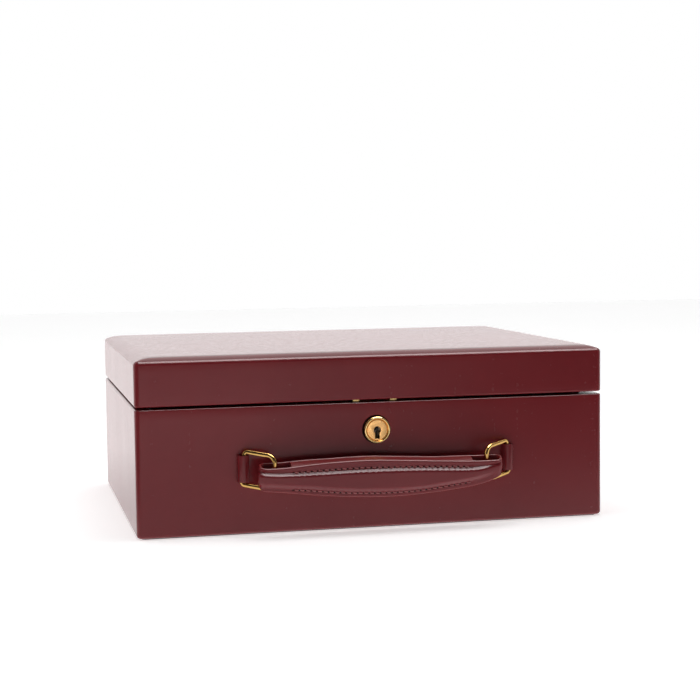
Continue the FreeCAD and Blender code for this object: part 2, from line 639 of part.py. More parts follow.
def lining_panels(outer_w, outer_d, thick, z0, z1):
    """Four upright panels lining a rectangular room, the ends fitted between front and back."""
    inner_w, inner_d = outer_w - thick, outer_d - thick
    return {
        "front": box(-outer_w, outer_w, -outer_d, -inner_d, z0, z1),
        "back": box(-outer_w, outer_w, inner_d, outer_d, z0, z1),
        "left": box(-outer_w, -inner_w, -inner_d, inner_d, z0, z1),
        "right": box(inner_w, outer_w, -inner_d, inner_d, z0, z1),
    }


def build_base_lining(parts):
    """Lining panels whose thinner top edge stands above the rim as the lip."""
    lip_w = CAVITY_W - LID_LINING - LIP_GAP
    lip_d = CAVITY_D - LID_LINING - LIP_GAP
    top = BASE_RIM + LIP_HEIGHT
    panels = lining_panels(CAVITY_W, CAVITY_D, LINING, FLOOR_TOP, top)
    rebate = slab(CAVITY_W + 1, CAVITY_D + 1, BASE_RIM, top + 1).cut(slab(lip_w, lip_d, BASE_RIM, top + 1))
    for name, panel in panels.items():
        parts["lining_" + name] = panel.cut(rebate)
    parts["floor_pad"] = slab(ROOM_W, ROOM_D, FLOOR_TOP, FLOOR_TOP + PAD_BASE_T)
    pad_top = FLOOR_TOP + PAD_BASE_T
    parts["tray_ledge_left"] = box(-ROOM_W, -ROOM_W + LEDGE_T, -ROOM_D, ROOM_D, pad_top, TRAY_BOTTOM)
    parts["tray_ledge_right"] = box(ROOM_W - LEDGE_T, ROOM_W, -ROOM_D, ROOM_D, pad_top, TRAY_BOTTOM)


def build_lid(parts):
    top_low = HEIGHT - LEATHER - LID_TOP_T
    envelope = lid_boards()
    boards = side_boards(envelope, LID_RIM, top_low)
    parts["lid_top_board"] = envelope.common(slab(HALF_W, HALF_D, top_low, HEIGHT))

    leather = lid_outer().cut(rounded_slab(BOARD_W, BOARD_D, LID_RIM + LEATHER, HEIGHT - LEATHER,
                                           CORNER_R - LEATHER, LID_TOP_R - LEATHER).cut(bevel(1, LEATHER)))
    leather = leather.cut(slab(CAVITY_W, CAVITY_D, LID_RIM - 1, LID_RIM + 2 * LEATHER))
    hinge_holes = Part.makeCompound(hinge_screws(1, screw_room))
    leather = leather.cut(hinge_room()).cut(leaf_box(1)).cut(hinge_holes)

    bed = rim_plate(LID_RIM)
    holes = Part.makeCompound(hasp_screws(screw_room))
    parts["lid_leather"] = leather.cut(bed)
    parts["lid_front_board"] = boards["front"].cut(bed).cut(holes)
    parts["hasp_plate"] = hasp().cut(holes)
    parts["hasp_screws"] = Part.makeCompound(hasp_screws(countersunk))

    parts["lid_back_board"] = boards["back"].cut(hinge_holes)
    parts["lid_left_board"] = boards["left"]
    parts["lid_right_board"] = boards["right"]
    parts["hinge_leaf_lid"] = hinge_leaf(1, 1).cut(hinge_holes)
    parts["hinge_screws_lid"] = Part.makeCompound(hinge_screws(1, countersunk))

    panels = lining_panels(CAVITY_W, CAVITY_D, LID_LINING, LID_RIM, top_low)
    for name, panel in panels.items():
        parts["lid_lining_" + name] = panel
    w, d = CAVITY_W - LID_LINING, CAVITY_D - LID_LINING
    parts["lid_pad"] = slab(w, d, top_low - PAD_LID_T, top_low)


def build_handle(parts):
    for side, name in ((-1, "left"), (1, "right")):
        parts["ring_" + name] = handle_ring(side)
    parts["grip_leather"] = grip_leather()
    parts["grip_core"] = grip_core()


def build_tray(parts):
    parts["tray_walls"] = tray_walls()
    parts["tray_floor"] = slab(TRAY_W, TRAY_D, TRAY_BOTTOM, TRAY_FLOOR_TOP)
    parts["tray_long_divider"] = tray_long_divider()
    parts["tray_cross_dividers"] = Part.makeCompound(tray_cross_dividers())
    for i in range(ROLLS):
        parts["ring_roll_%d" % (i + 1)] = ring_roll(i)


def main():
    parts = {}
    build_case(parts)
    build_base_lining(parts)
    build_lid(parts)
    parts["lock_bolt"] = lock_bolt()
    build_handle(parts)
    build_tray(parts)
    os.makedirs("parts", exist_ok=True)
    for name, shape in sorted(parts.items()):
        shape.exportStep("parts/%s.step" % name)
        solids = len(shape.Solids)
        print("%-22s %2d solid(s) %12.1f mm3 valid %s" % (name, solids, shape.Volume, shape.isValid()))
    print(len(parts), "nodes")
    path, _ = ring_path()
    expected = math.pi * WIRE_R ** 2 * path.Length
    print("ring wire %.1f mm3 expected, %.1f made" % (expected, parts["ring_left"].Volume))


main()
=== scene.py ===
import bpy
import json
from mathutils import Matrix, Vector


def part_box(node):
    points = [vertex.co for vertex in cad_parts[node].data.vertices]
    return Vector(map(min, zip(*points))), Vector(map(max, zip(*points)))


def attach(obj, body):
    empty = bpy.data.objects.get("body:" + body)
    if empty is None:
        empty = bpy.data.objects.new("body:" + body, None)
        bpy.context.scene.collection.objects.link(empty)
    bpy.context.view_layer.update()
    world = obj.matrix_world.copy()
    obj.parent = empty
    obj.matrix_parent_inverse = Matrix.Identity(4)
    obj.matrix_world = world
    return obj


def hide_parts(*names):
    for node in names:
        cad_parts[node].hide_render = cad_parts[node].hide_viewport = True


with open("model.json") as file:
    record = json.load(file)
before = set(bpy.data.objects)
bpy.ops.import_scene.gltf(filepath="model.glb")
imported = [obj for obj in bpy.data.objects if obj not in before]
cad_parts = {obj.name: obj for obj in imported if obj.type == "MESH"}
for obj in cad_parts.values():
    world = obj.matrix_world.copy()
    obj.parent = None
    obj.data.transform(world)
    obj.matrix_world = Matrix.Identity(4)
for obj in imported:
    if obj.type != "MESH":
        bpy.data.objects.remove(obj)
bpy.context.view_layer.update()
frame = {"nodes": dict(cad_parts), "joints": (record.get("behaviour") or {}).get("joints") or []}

import json
import math

import bmesh
import bpy
import numpy as np
from mathutils import Euler, Matrix, Vector, noise

# Lengths are millimetres in the row frame, and metres only once they are in a mesh or in the room.
MM = 0.001
NODES = frame["nodes"]


def node_box(name):
    low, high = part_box(name)
    return Vector(low) / MM, Vector(high) / MM


BASE_LOW, BASE_HIGH = node_box("base_leather")
LID_LOW, LID_HIGH = node_box("lid_leather")
HALF_W, HALF_D = BASE_HIGH.x, -BASE_LOW.y
BASE_RIM, LID_RIM, TOP = BASE_HIGH.z, LID_LOW.z, LID_HIGH.z
WRAP_BOTTOM = BASE_LOW.z
CORNER_R, BOTTOM_R, RIM_R = 3.6, 2.2, 1.15
SKIN = 1.0
RIM_W = 10.0  # leather across the rim, to the lining
TURN_UNDER = 15.0
JOINTS = {joint["child"]: joint for joint in frame["joints"]}
HINGE_Y, HINGE_Z = (metres / MM for metres in JOINTS["lid"]["pos_m"][1:])
HINGE_HALF = node_box("hinge_pin")[1].x
BEVEL = math.radians(50.0)
KNUCKLE_ROOM = 2.32  # leather stays this far from the hinge's axis
HINGE_ZONE = 90.0  # nothing of the hinge is further forward than this
HINGE_GAP = 0.04
LEAF_BOTTOM = node_box("hinge_leaf_base")[0].z
PLATE_LOW, PLATE_HIGH = node_box("lock_faceplate")
LOCK_LOW, LOCK_HIGH = node_box("lock_rosette")
LOCK_Z = (LOCK_LOW.z + LOCK_HIGH.z) / 2
ROSETTE_R = LOCK_HIGH.x
MIDDLE = HALF_D - 0.0015  # inset at which a lid contour closes on itself
EDGE_ZONE = 9.0  # a side's waves push points out within this distance


# ---------- meshes
def smooth(mesh, angle=38.0):
    mesh.polygons.foreach_set("use_smooth", [True] * len(mesh.polygons))
    mesh.set_sharp_from_angle(angle=math.radians(angle))


def make_mesh(name, verts, faces, material, body, angle=38.0, second=()):
    """A piece from millimetre points, riding on a CAD body. Faces listed in second take slot two."""
    mesh = bpy.data.meshes.new(name)
    mesh.from_pydata([Vector(v) * MM for v in verts], [], faces)
    for i in second:
        mesh.polygons[i].material_index = 1
    return finish_mesh(name, mesh, material, body, angle)


def finish_mesh(name, mesh, material, body, angle=38.0, weld=True):
    bm = bmesh.new()
    bm.from_mesh(mesh)
    if weld:
        bmesh.ops.remove_doubles(bm, verts=bm.verts, dist=2e-6)
        bmesh.ops.dissolve_degenerate(bm, edges=bm.edges, dist=1e-6)
    bmesh.ops.recalc_face_normals(bm, faces=bm.faces)
    bm.to_mesh(mesh)
    bm.free()
    smooth(mesh, angle)
    piece = bpy.data.objects.new(name, mesh)
    bpy.context.scene.collection.objects.link(piece)
    mesh.materials.append(material)
    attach(piece, body)
    return piece


SHARP = math.radians(40.0)  # edges that turn more than this are rounded over


def bevelled_copy(node, name, material, body, width):
    """A CAD node's own shape with its sharp edges rounded over."""
    bm = bmesh.new()
    bm.from_mesh(NODES[node].data)
    bmesh.ops.remove_doubles(bm, verts=bm.verts, dist=2e-6)
    bmesh.ops.dissolve_limit(bm, angle_limit=math.radians(1.0), verts=bm.verts, edges=bm.edges)
    sharp = [e for e in bm.edges if len(e.link_faces) == 2 and e.calc_face_angle() > SHARP]
    bmesh.ops.bevel(bm, geom=sharp, offset=width * MM, segments=3, profile=0.6, affect="EDGES",
                    clamp_overlap=True)
    mesh = bpy.data.meshes.new(name)
    bm.to_mesh(mesh)
    bm.free()
    piece = finish_mesh(name, mesh, material, body, weld=False)
    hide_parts(node)


def grid_faces(rows, columns, wrap_rows=False, wrap_columns=False):
    faces = []
    for i in range(rows if wrap_rows else rows - 1):
        for j in range(columns if wrap_columns else columns - 1):
            a, b = i * columns + j, i * columns + (j + 1) % columns
            k = (i + 1) % rows
            faces.append((a, b, k * columns + (j + 1) % columns, k * columns + j))
    return faces


def spread(start, end, spacing, extra=()):
    """Evenly spaced numbers from start up to end, without end, and the extra ones between them."""
    count = max(1, round(abs(end - start) / spacing))
    values = [start + (end - start) * i / count for i in range(count)]
    values += [e for e in extra if min(start, end) < e < max(start, end)]
    return sorted(values, reverse=end < start)


def pillow_radius(inset):
    """Corner radius of the lid's contours: they open out again as the top swells."""
    return CORNER_R - inset if inset < 2.0 else CORNER_R - 2.0 + 0.35 * (inset - 2.0)


def outline(inset, spacing=7.0, corner_steps=10, marks=(), radius=None):
    """Rounded rectangle inset from the case's outline; the same number of points for every inset.
    Without a radius of its own it keeps its points in line with the marks, beside hinge and plate."""
    hold = radius is None
    radius = max(CORNER_R - inset, 0.15) if hold else min(radius, 0.6 * (HALF_D - inset))
    w, d = HALF_W - inset, HALF_D - inset
    straight_w, straight_d = HALF_W - CORNER_R, HALF_D - CORNER_R
    points = []
    ratio_w, ratio_d = (w - radius) / straight_w, (d - radius) / straight_d

    def along_x(start, end, y):
        for x in spread(start, end, spacing, marks):
            keep = hold and abs(x) < HINGE_HALF + 1.0 and inset < 20
            points.append((x if keep else x * ratio_w, y))

    def corner(cx, cy, first):
        for i in range(corner_steps):
            a = math.radians(first + 90.0 * i / corner_steps)
            points.append((cx + radius * math.cos(a), cy + radius * math.sin(a)))

    along_x(-straight_w, straight_w, -d)
    corner(w - radius, -(d - radius), -90)
    points += [(w, y * ratio_d) for y in spread(-straight_d, straight_d, spacing)]
    corner(w - radius, d - radius, 0)
    along_x(straight_w, -straight_w, d)
    corner(-(w - radius), d - radius, 90)
    points += [(-w, y * ratio_d) for y in spread(straight_d, -straight_d, spacing)]
    corner(-(w - radius), -(d - radius), 180)
    return points


def quarter(radius, steps, start, end):
    """(inset, rise) points of a roll, as offsets from its two tangent lines."""
    angles = [math.radians(start + (end - start) * i / steps) for i in range(steps + 1)]
    return [(radius * (1 - math.cos(a)), radius * (1 - math.sin(a))) for a in angles]


def hand(x, y, z, scale, seed):
    """Smooth noise in -1..1 for a surface that was worked by hand."""
    return noise.noise(Vector((x * scale + seed, y * scale - seed, z * scale + 0.5 * seed)))


def stretch_skin(x, y, z, out):
    """A skin over boards is never dead flat: long slow waves and shorter, lower ones."""
    wave = 0.10 * hand(x, y, z, 0.021, 3.0) + 0.035 * hand(x, y, z, 0.09, 11.0)
    return Vector((x, y, z)) + out * wave


def clear_hinge(v, side):
    """Keeps a skin off the hinge barrel, its leaf and the rear stop bevel. side is -1 base, +1 lid."""
    if v.y < HINGE_ZONE:
        return v
    limit = HINGE_Z + side * (v.y - HINGE_Y) * math.tan(BEVEL)
    if v.y > HINGE_Y and side * (v.z - limit) < HINGE_GAP:
        v.z = limit + side * HINGE_GAP
    if abs(v.x) > HINGE_HALF + 0.35:
        return v
    leaf = HINGE_Z + side * (HINGE_Z - LEAF_BOTTOM + 0.02)
    if v.y > HALF_D - RIM_W - 0.5 and v.y <= HINGE_Y and side * (v.z - leaf) < 0:
        v.z = leaf
    arm = Vector((0, v.y - HINGE_Y, v.z - HINGE_Z))
    if 0 < arm.length < KNUCKLE_ROOM:
        arm *= KNUCKLE_ROOM / arm.length
        v = Vector((v.x, HINGE_Y + arm.y, HINGE_Z + arm.z))
    return v


SKIN_ANGLE = 42.0  # a skin is shaded smooth over edges below this
PLATE_MARKS = [PLATE_LOW.x - 0.3, PLATE_LOW.x, PLATE_HIGH.x, PLATE_HIGH.x + 0.3]
HINGE_MARKS = [-HINGE_HALF - 0.6, -HINGE_HALF - 0.3, HINGE_HALF + 0.3, HINGE_HALF + 0.6]


def seat_plate(v, side, level):
    """Drops a rim skin below the brass plate that is let into it."""
    inside_x = PLATE_LOW.x - 0.05 <= v.x <= PLATE_HIGH.x + 0.05
    inside_y = PLATE_LOW.y - 0.05 <= v.y <= PLATE_HIGH.y + 0.05
    if inside_x and inside_y and side * (v.z - level) < 0:
        v.z = level
    return v


def rim_flange(level):
    """(inset, z) of the leather across a rim, with close rows at both edges of a brass plate."""
    plate = HALF_D + PLATE_LOW.y
    return [(inset, level) for inset in (RIM_W, 9.86, 9.78, 6.0, plate, plate - 0.12, 2.0)]


def base_profile():
    """(inset, z) round the skin: rim, roll, side, bottom roll and turn-under, then back inside."""
    roll = [(a, BASE_RIM - b) for a, b in reversed(quarter(RIM_R, 6, 0, 90))]
    low = WRAP_BOTTOM + BOTTOM_R
    high = BASE_RIM - RIM_R
    side = [(0.0, high + (low - high) * i / 12) for i in range(1, 12)]
    under = [(a, WRAP_BOTTOM + b) for a, b in quarter(BOTTOM_R, 6, 0, 90)]
    turned = [(6.0, WRAP_BOTTOM), (11.0, WRAP_BOTTOM), (TURN_UNDER, WRAP_BOTTOM + 0.05)]
    inner = [(TURN_UNDER, WRAP_BOTTOM + 0.8), (SKIN, WRAP_BOTTOM + SKIN), (SKIN, BASE_RIM / 2),
             (SKIN, BASE_RIM - SKIN), (RIM_W, BASE_RIM - SKIN)]
    return rim_flange(BASE_RIM) + roll + side + under + turned + inner


def loft(profile, side, level):
    """Points and faces of a skin whose contours follow profile, fitted to plate and hinge."""
    marks = PLATE_MARKS + HINGE_MARKS
    verts = []
    for inset, z in profile:
        swell = side > 0 and z > TOP - PILLOW_DROP
        ring = outline(inset, marks=marks, radius=pillow_radius(inset) if swell else None)
        outer = inset <= 0.6 * CORNER_R
        for x, y in ring:
            v = Vector((x, y, z))
            if outer:
                w, d = HALF_W - EDGE_ZONE, HALF_D - EDGE_ZONE
                out = Vector((x - max(min(x, w), -w), y - max(min(y, d), -d), 0))
                if out.length > 0:
                    v = stretch_skin(x, y, z, out.normalized())
            verts.append(clear_hinge(seat_plate(v, side, level), side))
    return verts, grid_faces(len(profile), len(ring), wrap_rows=True, wrap_columns=True)


def base_shell(material):
    """The base's leather, with a hole for the rosette that leaves a shadow at its upper left."""
    verts, faces = loft(base_profile(), -1, PLATE_LOW.z - 0.02)
    shell = make_mesh("case_leather", verts, faces, material, "case", angle=SKIN_ANGLE)
    room, front, back = ROSETTE_R + 0.75, -HALF_D - 3.0, -HALF_D + 3.0
    bore = [(0.0, front), (room, front), (room, back), (0.0, back)]
    centre = Vector((-0.25, 0, LOCK_Z + 0.25))
    cut_out(shell, lathe("lock_hole_cutter", bore, 64, material, "case", centre=centre))
    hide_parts("base_leather")


def cut_out(piece, cutter):
    """Takes cutter's volume out of piece, and removes cutter."""
    bpy.context.view_layer.update()
    mod = piece.modifiers.new("cut", "BOOLEAN")
    mod.object = cutter
    mod.solver = "EXACT"
    dg = bpy.context.evaluated_depsgraph_get()
    mesh = bpy.data.meshes.new_from_object(piece.evaluated_get(dg))
    piece.modifiers.remove(mod)
    old = piece.data
    piece.data = mesh
    bpy.data.meshes.remove(old)
    bpy.data.objects.remove(cutter)
    smooth(mesh, SKIN_ANGLE)


PILLOW_ROLL, PILLOW_SLOPE, PILLOW_RUN, PILLOW_SWELL = 2.8, 22.0, 1.2, 23.0
PILLOW_DROP = (PILLOW_ROLL * math.sin(math.radians(90 - PILLOW_SLOPE))
               + PILLOW_RUN * math.sin(math.radians(PILLOW_SLOPE))
               + PILLOW_SWELL * (1 - math.cos(math.radians(PILLOW_SLOPE))))


def pillow():
    """(inset, z) points of the lid's upper edge: a tight roll, a short slope and a long swell."""
    points = []
    start = TOP - PILLOW_DROP
    steep = 90 - PILLOW_SLOPE
    for i in range(9):
        a = math.radians(steep * i / 8)
        points.append((PILLOW_ROLL * (1 - math.cos(a)), start + PILLOW_ROLL * math.sin(a)))
    slope = math.radians(PILLOW_SLOPE)
    inset, z = points[-1]
    inset, z = inset + PILLOW_RUN * math.cos(slope), z + PILLOW_RUN * math.sin(slope)
    for i in range(11):
        a = math.radians(PILLOW_SLOPE * (1 - i / 10))
        points.append((inset + PILLOW_SWELL * (math.sin(slope) - math.sin(a)),
                       z + PILLOW_SWELL * (math.cos(a) - math.cos(slope))))
    return points


def lid_shell(material):
    """The lid's leather: rim, side, pillowed edge, and a top that is a little fuller in the middle."""
    rim = LID_RIM
    roll = [(a, rim + b) for a, b in reversed(quarter(RIM_R, 6, 0, 90))]
    low, high = rim + RIM_R, TOP - PILLOW_DROP
    side = [(0.0, low + (high - low) * i / 5) for i in range(1, 5)]
    top = [(float(i), TOP) for i in (16, 20, 26, 36, 48, 62, 78, 95, MIDDLE)]
    inner = [(MIDDLE, TOP - SKIN), (60.0, TOP - SKIN), (13.0, TOP - SKIN), (SKIN, high),
             (SKIN, rim + SKIN), (RIM_W, rim + SKIN)]
    profile = rim_flange(rim) + roll + side + pillow() + top + inner
    verts, faces = loft(profile, 1, node_box("hasp_plate")[1].z + 0.02)
    crowned = []
    for v in verts:
        if v.z > high:
            fullness = max(0.0, 1 - (v.x / HALF_W) ** 2) * max(0.0, 1 - (v.y / HALF_D) ** 2)
            ripple = 0.08 * hand(v.x, v.y, v.z, 0.03, 5.0) + 0.02 * hand(v.x, v.y, v.z, 0.11, 8.0)
            v = v + Vector((0, 0, (0.25 * fullness ** 0.5 + ripple) * ease((v.z - high) / PILLOW_DROP)))
        crowned.append(v)
    shell = make_mesh("lid_leather_skin", crowned, faces, material, "lid", angle=SKIN_ANGLE)
    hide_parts("lid_leather")


def lid_panel(material):
    """The lid's top board, its edges planed down to the swell of the leather."""
    low, high = node_box("lid_top_board")
    shoulder = TOP - PILLOW_DROP - 0.6
    profile = [(MIDDLE, low.z), (1.06, low.z), (1.06, shoulder), (4.6, shoulder + 2.9),
               (13.0, high.z - 0.25), (MIDDLE, high.z - 0.1)]
    rings = [outline(inset, radius=pillow_radius(inset)) for inset, _ in profile]
    verts = [(x, y, z) for ring, (_, z) in zip(rings, profile) for x, y in ring]
    faces = grid_faces(len(profile), len(rings[0]), wrap_rows=True, wrap_columns=True)
    board = make_mesh("lid_top_panel", verts, faces, material, "lid", angle=25)
    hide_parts("lid_top_board")


def lathe(name, outline_points, steps, material, body, centre=None):
    """A turned part: (radius, y) points about an axis along Y through the lock's centre."""
    centre = centre or Vector((0, 0, LOCK_Z))
    verts = []
    for r, y in outline_points:
        for i in range(steps):
            a = 2 * math.pi * i / steps
            verts.append(centre + Vector((r * math.cos(a), y, r * math.sin(a))))
    hollow = outline_points[0][0] > 0.0
    faces = grid_faces(len(outline_points), steps, wrap_rows=hollow, wrap_columns=True)
    return make_mesh(name, verts, faces, material, body)


# ---------- materials
class Nodes:
    """Short spelling for a shader tree. Its textures lie on one of the texture coordinates."""

    def __init__(self, tree, coordinates):
        self.tree = tree
        self.place = self.new("ShaderNodeTexCoord").outputs[coordinates]

    def new(self, kind, **settings):
        node = self.tree.nodes.new(kind)
        for key, value in settings.items():
            setattr(node, key, value)
        return node

    def feed(self, socket, value):
        """Gives a socket a colour, a number, or another node's output."""
        if isinstance(value, tuple):
            socket.default_value = value + (1.0,)
        elif isinstance(value, (int, float)):
            socket.default_value = value
        else:
            self.tree.links.new(value, socket)

    def filled(self, node, **inputs):
        """Feeds inputs by name, with _ for a space, and returns the node's first output."""
        for key, value in inputs.items():
            self.feed(node.inputs[key.replace("_", " ")], value)
        return node.outputs[0]

    def axes(self):
        split = self.new("ShaderNodeSeparateXYZ")
        self.filled(split, Vector=self.place)
        return split.outputs

    def noise(self, scale, detail=3.0, rough=0.5, stretch=None, distortion=0.0, kind="FBM"):
        place = self.place
        if stretch:
            mapping = self.new("ShaderNodeMapping")
            mapping.inputs["Scale"].default_value = stretch
            place = self.filled(mapping, Vector=self.place)
        node = self.new("ShaderNodeTexNoise", noise_type=kind)
        return self.filled(node, Vector=place, Scale=scale, Detail=detail, Roughness=rough,
                           Distortion=distortion)

    def voronoi(self, scale, feature="F1"):
        node = self.new("ShaderNodeTexVoronoi", feature=feature)
        self.filled(node, Vector=self.place, Scale=scale)
        return node.outputs["Distance"]

    def range(self, value, low, high, to_low=0.0, to_high=1.0, kind="LINEAR"):
        node = self.new("ShaderNodeMapRange", interpolation_type=kind)
        return self.filled(node, Value=value, From_Min=low, From_Max=high, To_Min=to_low, To_Max=to_high)

    def math(self, operation, a, b):
        node = self.new("ShaderNodeMath", operation=operation)
        for socket, value in zip(node.inputs, (a, b)):
            self.feed(socket, value)
        return node.outputs[0]

    def mix(self, factor, a, b):
        node = self.new("ShaderNodeMix", data_type="RGBA")
        named = {socket.identifier: socket for socket in [*node.inputs, *node.outputs]}
        for key, value in (("Factor_Float", factor), ("A_Color", a), ("B_Color", b)):
            self.feed(named[key], value)
        return named["Result_Color"]


class Surface(Nodes):
    """The shader tree of a material, on the rest-pose object coordinates."""

    def __init__(self, name):
        self.material = bpy.data.materials.new(name)
        self.material.use_nodes = True
        super().__init__(self.material.node_tree, "Object")
        self.shader = self.tree.nodes["Principled BSDF"]

    def bump(self, height, strength, distance, under=None):
        node = self.new("ShaderNodeBump")
        if under is not None:
            self.feed(node.inputs["Normal"], under)
        return self.filled(node, Height=height, Strength=strength, Distance=distance)

    def set(self, **values):
        names = {"colour": "Base Color", "rough": "Roughness", "metal": "Metallic", "normal": "Normal",
                 "sheen": "Sheen Weight", "sheen_rough": "Sheen Roughness",
                 "specular": "Specular IOR Level", "ior": "IOR"}
        for key, value in values.items():
            self.feed(self.shader.inputs[names[key]], value)
        return self.material


LEATHER_IOR = 1.37  # waxed leather, a little less glossy than lacquer


def leather(name, deep, light, rough, wear=0.5, streaks=1.0):
    """Polished calf: cloudy dye, fine pores, slow streaks from polishing, hairline creases in relief with
    painted shade darkening their lines, specks.
    """
    n = Surface(name)
    cloud = n.range(n.noise(9.0, 5.0, 0.55), 0.30, 0.70)
    mottle = n.range(n.noise(160.0, 4.0, 0.6), 0.35, 0.7)
    tone = n.mix(n.math("MULTIPLY", mottle, 0.35), n.mix(cloud, deep, light), light)
    crease_patches = n.range(n.noise(26.0, 2.0, 0.5), 0.56, 0.70)
    lines = n.noise(70.0, 5.0, 0.6, stretch=(0.5, 0.5, 1.0), distortion=1.2, kind="RIDGED_MULTIFRACTAL")
    creases = n.math("MULTIPLY", n.range(lines, 1.25, 1.5), crease_patches)
    specks = n.range(n.voronoi(210.0), 0.035, 0.055, 1.0, 0.0)
    speck_here = n.math("MULTIPLY", specks, n.range(n.noise(60.0, 1.0), 0.62, 0.66))
    worn = tuple(min(1.0, c * 1.9 + 0.025) for c in light)
    # painted shade: crease lines darken the colour as shade in a crease would; wear sets how much
    colour = n.mix(n.math("MULTIPLY", creases, 0.45 * wear), tone, tuple(c * 0.45 for c in deep))
    colour = n.mix(n.math("MULTIPLY", speck_here, 0.35 * wear), colour, worn)
    vertical = n.noise(5.0, 5.0, 0.65, stretch=(45.0, 45.0, 1.5))
    gloss = n.math("ADD", n.range(vertical, 0.3, 0.75, rough - 0.02 * streaks, rough + 0.02 * streaks),
                   n.range(n.noise(420.0, 3.0), 0.3, 0.7, -0.02, 0.02))
    gloss = n.math("ADD", gloss, n.math("MULTIPLY", creases, 0.15))
    pores = n.voronoi(1500.0, "SMOOTH_F1")
    grain = n.math("ADD", n.math("MULTIPLY", pores, 0.6), n.noise(3300.0, 3.0, 0.6))
    fine = n.bump(grain, 0.06, 0.0001)
    drag = n.bump(vertical, 0.02 * streaks, 0.0001, fine)
    folds = n.math("MULTIPLY", creases, -1.0)
    normal = n.bump(folds, 0.15 * wear, 0.0003, drag)
    return n.set(colour=colour, rough=gloss, normal=normal, specular=0.5, ior=LEATHER_IOR)


def brass(name, rough=0.16, colour=(0.86, 0.60, 0.25), tarnish=0.5, brushed=None):
    """Gold-toned brass: a soft tarnish, fine polishing marks and small dents."""
    n = Surface(name)
    cloud = n.range(n.noise(240.0, 5.0, 0.6), 0.42, 0.75)
    dull = tuple(c * f for c, f in zip(colour, (0.62, 0.52, 0.40)))
    tone = n.mix(n.math("MULTIPLY", cloud, tarnish), colour, dull)
    marks = n.noise(900.0, 4.0, 0.6, stretch=brushed or (1.0, 0.3, 3.0))
    gloss = n.range(marks, 0.25, 0.75, rough - 0.05, rough + 0.09)
    dents = n.bump(n.noise(330.0, 2.0), 0.10, 0.0003)
    normal = n.bump(marks, 0.05, 0.00008, dents)
    return n.set(colour=tone, rough=gloss, metal=1.0, normal=normal)


def steel(name, bright=(0.52, 0.51, 0.49), stained=(0.26, 0.22, 0.19)):
    n = Surface(name)
    marks = n.noise(700.0, 4.0, 0.6, stretch=(1.0, 1.0, 6.0))
    stain = n.range(n.noise(120.0, 4.0), 0.45, 0.75)
    tone = n.mix(n.math("MULTIPLY", stain, 0.5), bright, stained)
    return n.set(colour=tone, rough=n.range(marks, 0.2, 0.8, 0.25, 0.45), metal=1.0,
                 normal=n.bump(marks, 0.08, 0.0001))


def wood(name):
    n = Surface(name)
    rings = n.noise(30.0, 6.0, 0.6, stretch=(0.08, 1.0, 1.0), distortion=0.6)
    pores = n.noise(800.0, 2.0, 0.5, stretch=(0.05, 1.0, 1.0))
    tone = n.mix(n.range(rings, 0.3, 0.7), (0.34, 0.20, 0.10), (0.50, 0.34, 0.19))
    tone = n.mix(n.range(pores, 0.55, 0.75, 0.0, 0.4), tone, (0.20, 0.11, 0.06))
    return n.set(colour=tone, rough=n.range(rings, 0.2, 0.8, 0.55, 0.7),
                 normal=n.bump(pores, 0.2, 0.0002))


def suede(name, deep, light, nap=0.35):
    """Lining suede or velvet: brushed patches, a short nap and a soft sheen."""
    n = Surface(name)
    brushed = n.range(n.noise(22.0, 4.0, 0.6, stretch=(1.0, 1.4, 1.0), distortion=0.8), 0.35, 0.68)
    pile = n.noise(2600.0, 4.0, 0.7)
    tone = n.mix(brushed, deep, light)
    tone = n.mix(n.range(pile, 0.3, 0.75, 0.0, 0.35), tone, tuple(c * 0.55 for c in deep))
    return n.set(colour=tone, rough=n.range(pile, 0.3, 0.7, 0.82, 0.96), sheen=0.55, sheen_rough=0.4,
                 specular=0.2, normal=n.bump(pile, nap, 0.0002))


def thread(name):
    n = Surface(name)
    twist = n.noise(2200.0, 3.0, 0.6, stretch=(1.0, 1.0, 0.4))
    tone = n.mix(n.range(twist, 0.3, 0.7), (0.26, 0.050, 0.054), (0.46, 0.14, 0.14))
    return n.set(colour=tone, rough=0.38, sheen=0.2, normal=n.bump(twist, 0.4, 0.00015))


# painted shade: a near-black material for the insides of slits and gaps, standing in for the shade that
# falls in them
def painted_hole_shade(name):
    n = Surface(name)
    fuzz = n.noise(1800.0, 3.0)
    tone = n.mix(n.range(fuzz, 0.3, 0.7), (0.010, 0.003, 0.003), (0.03, 0.008, 0.008))
    return n.set(colour=tone, rough=0.9, specular=0.1, normal=n.bump(fuzz, 0.3, 0.0001))


CALF = leather("burgundy_calf", (0.170, 0.0120, 0.0165), (0.205, 0.0165, 0.0215), rough=0.25, wear=0.3)
STRAP = leather("handle_calf", (0.150, 0.0115, 0.0155), (0.185, 0.0165, 0.0210), rough=0.24, wear=0.8,
                streaks=0.3)
EDGE = leather("edge_paint", (0.21, 0.016, 0.018), (0.27, 0.024, 0.025), rough=0.30, wear=1.0,
               streaks=0.2)
UNDERSIDE = leather("underside_leather", (0.035, 0.008, 0.008), (0.06, 0.014, 0.014), rough=0.55)
BRASS = brass("polished_brass", colour=(0.95, 0.66, 0.28), tarnish=0.35)
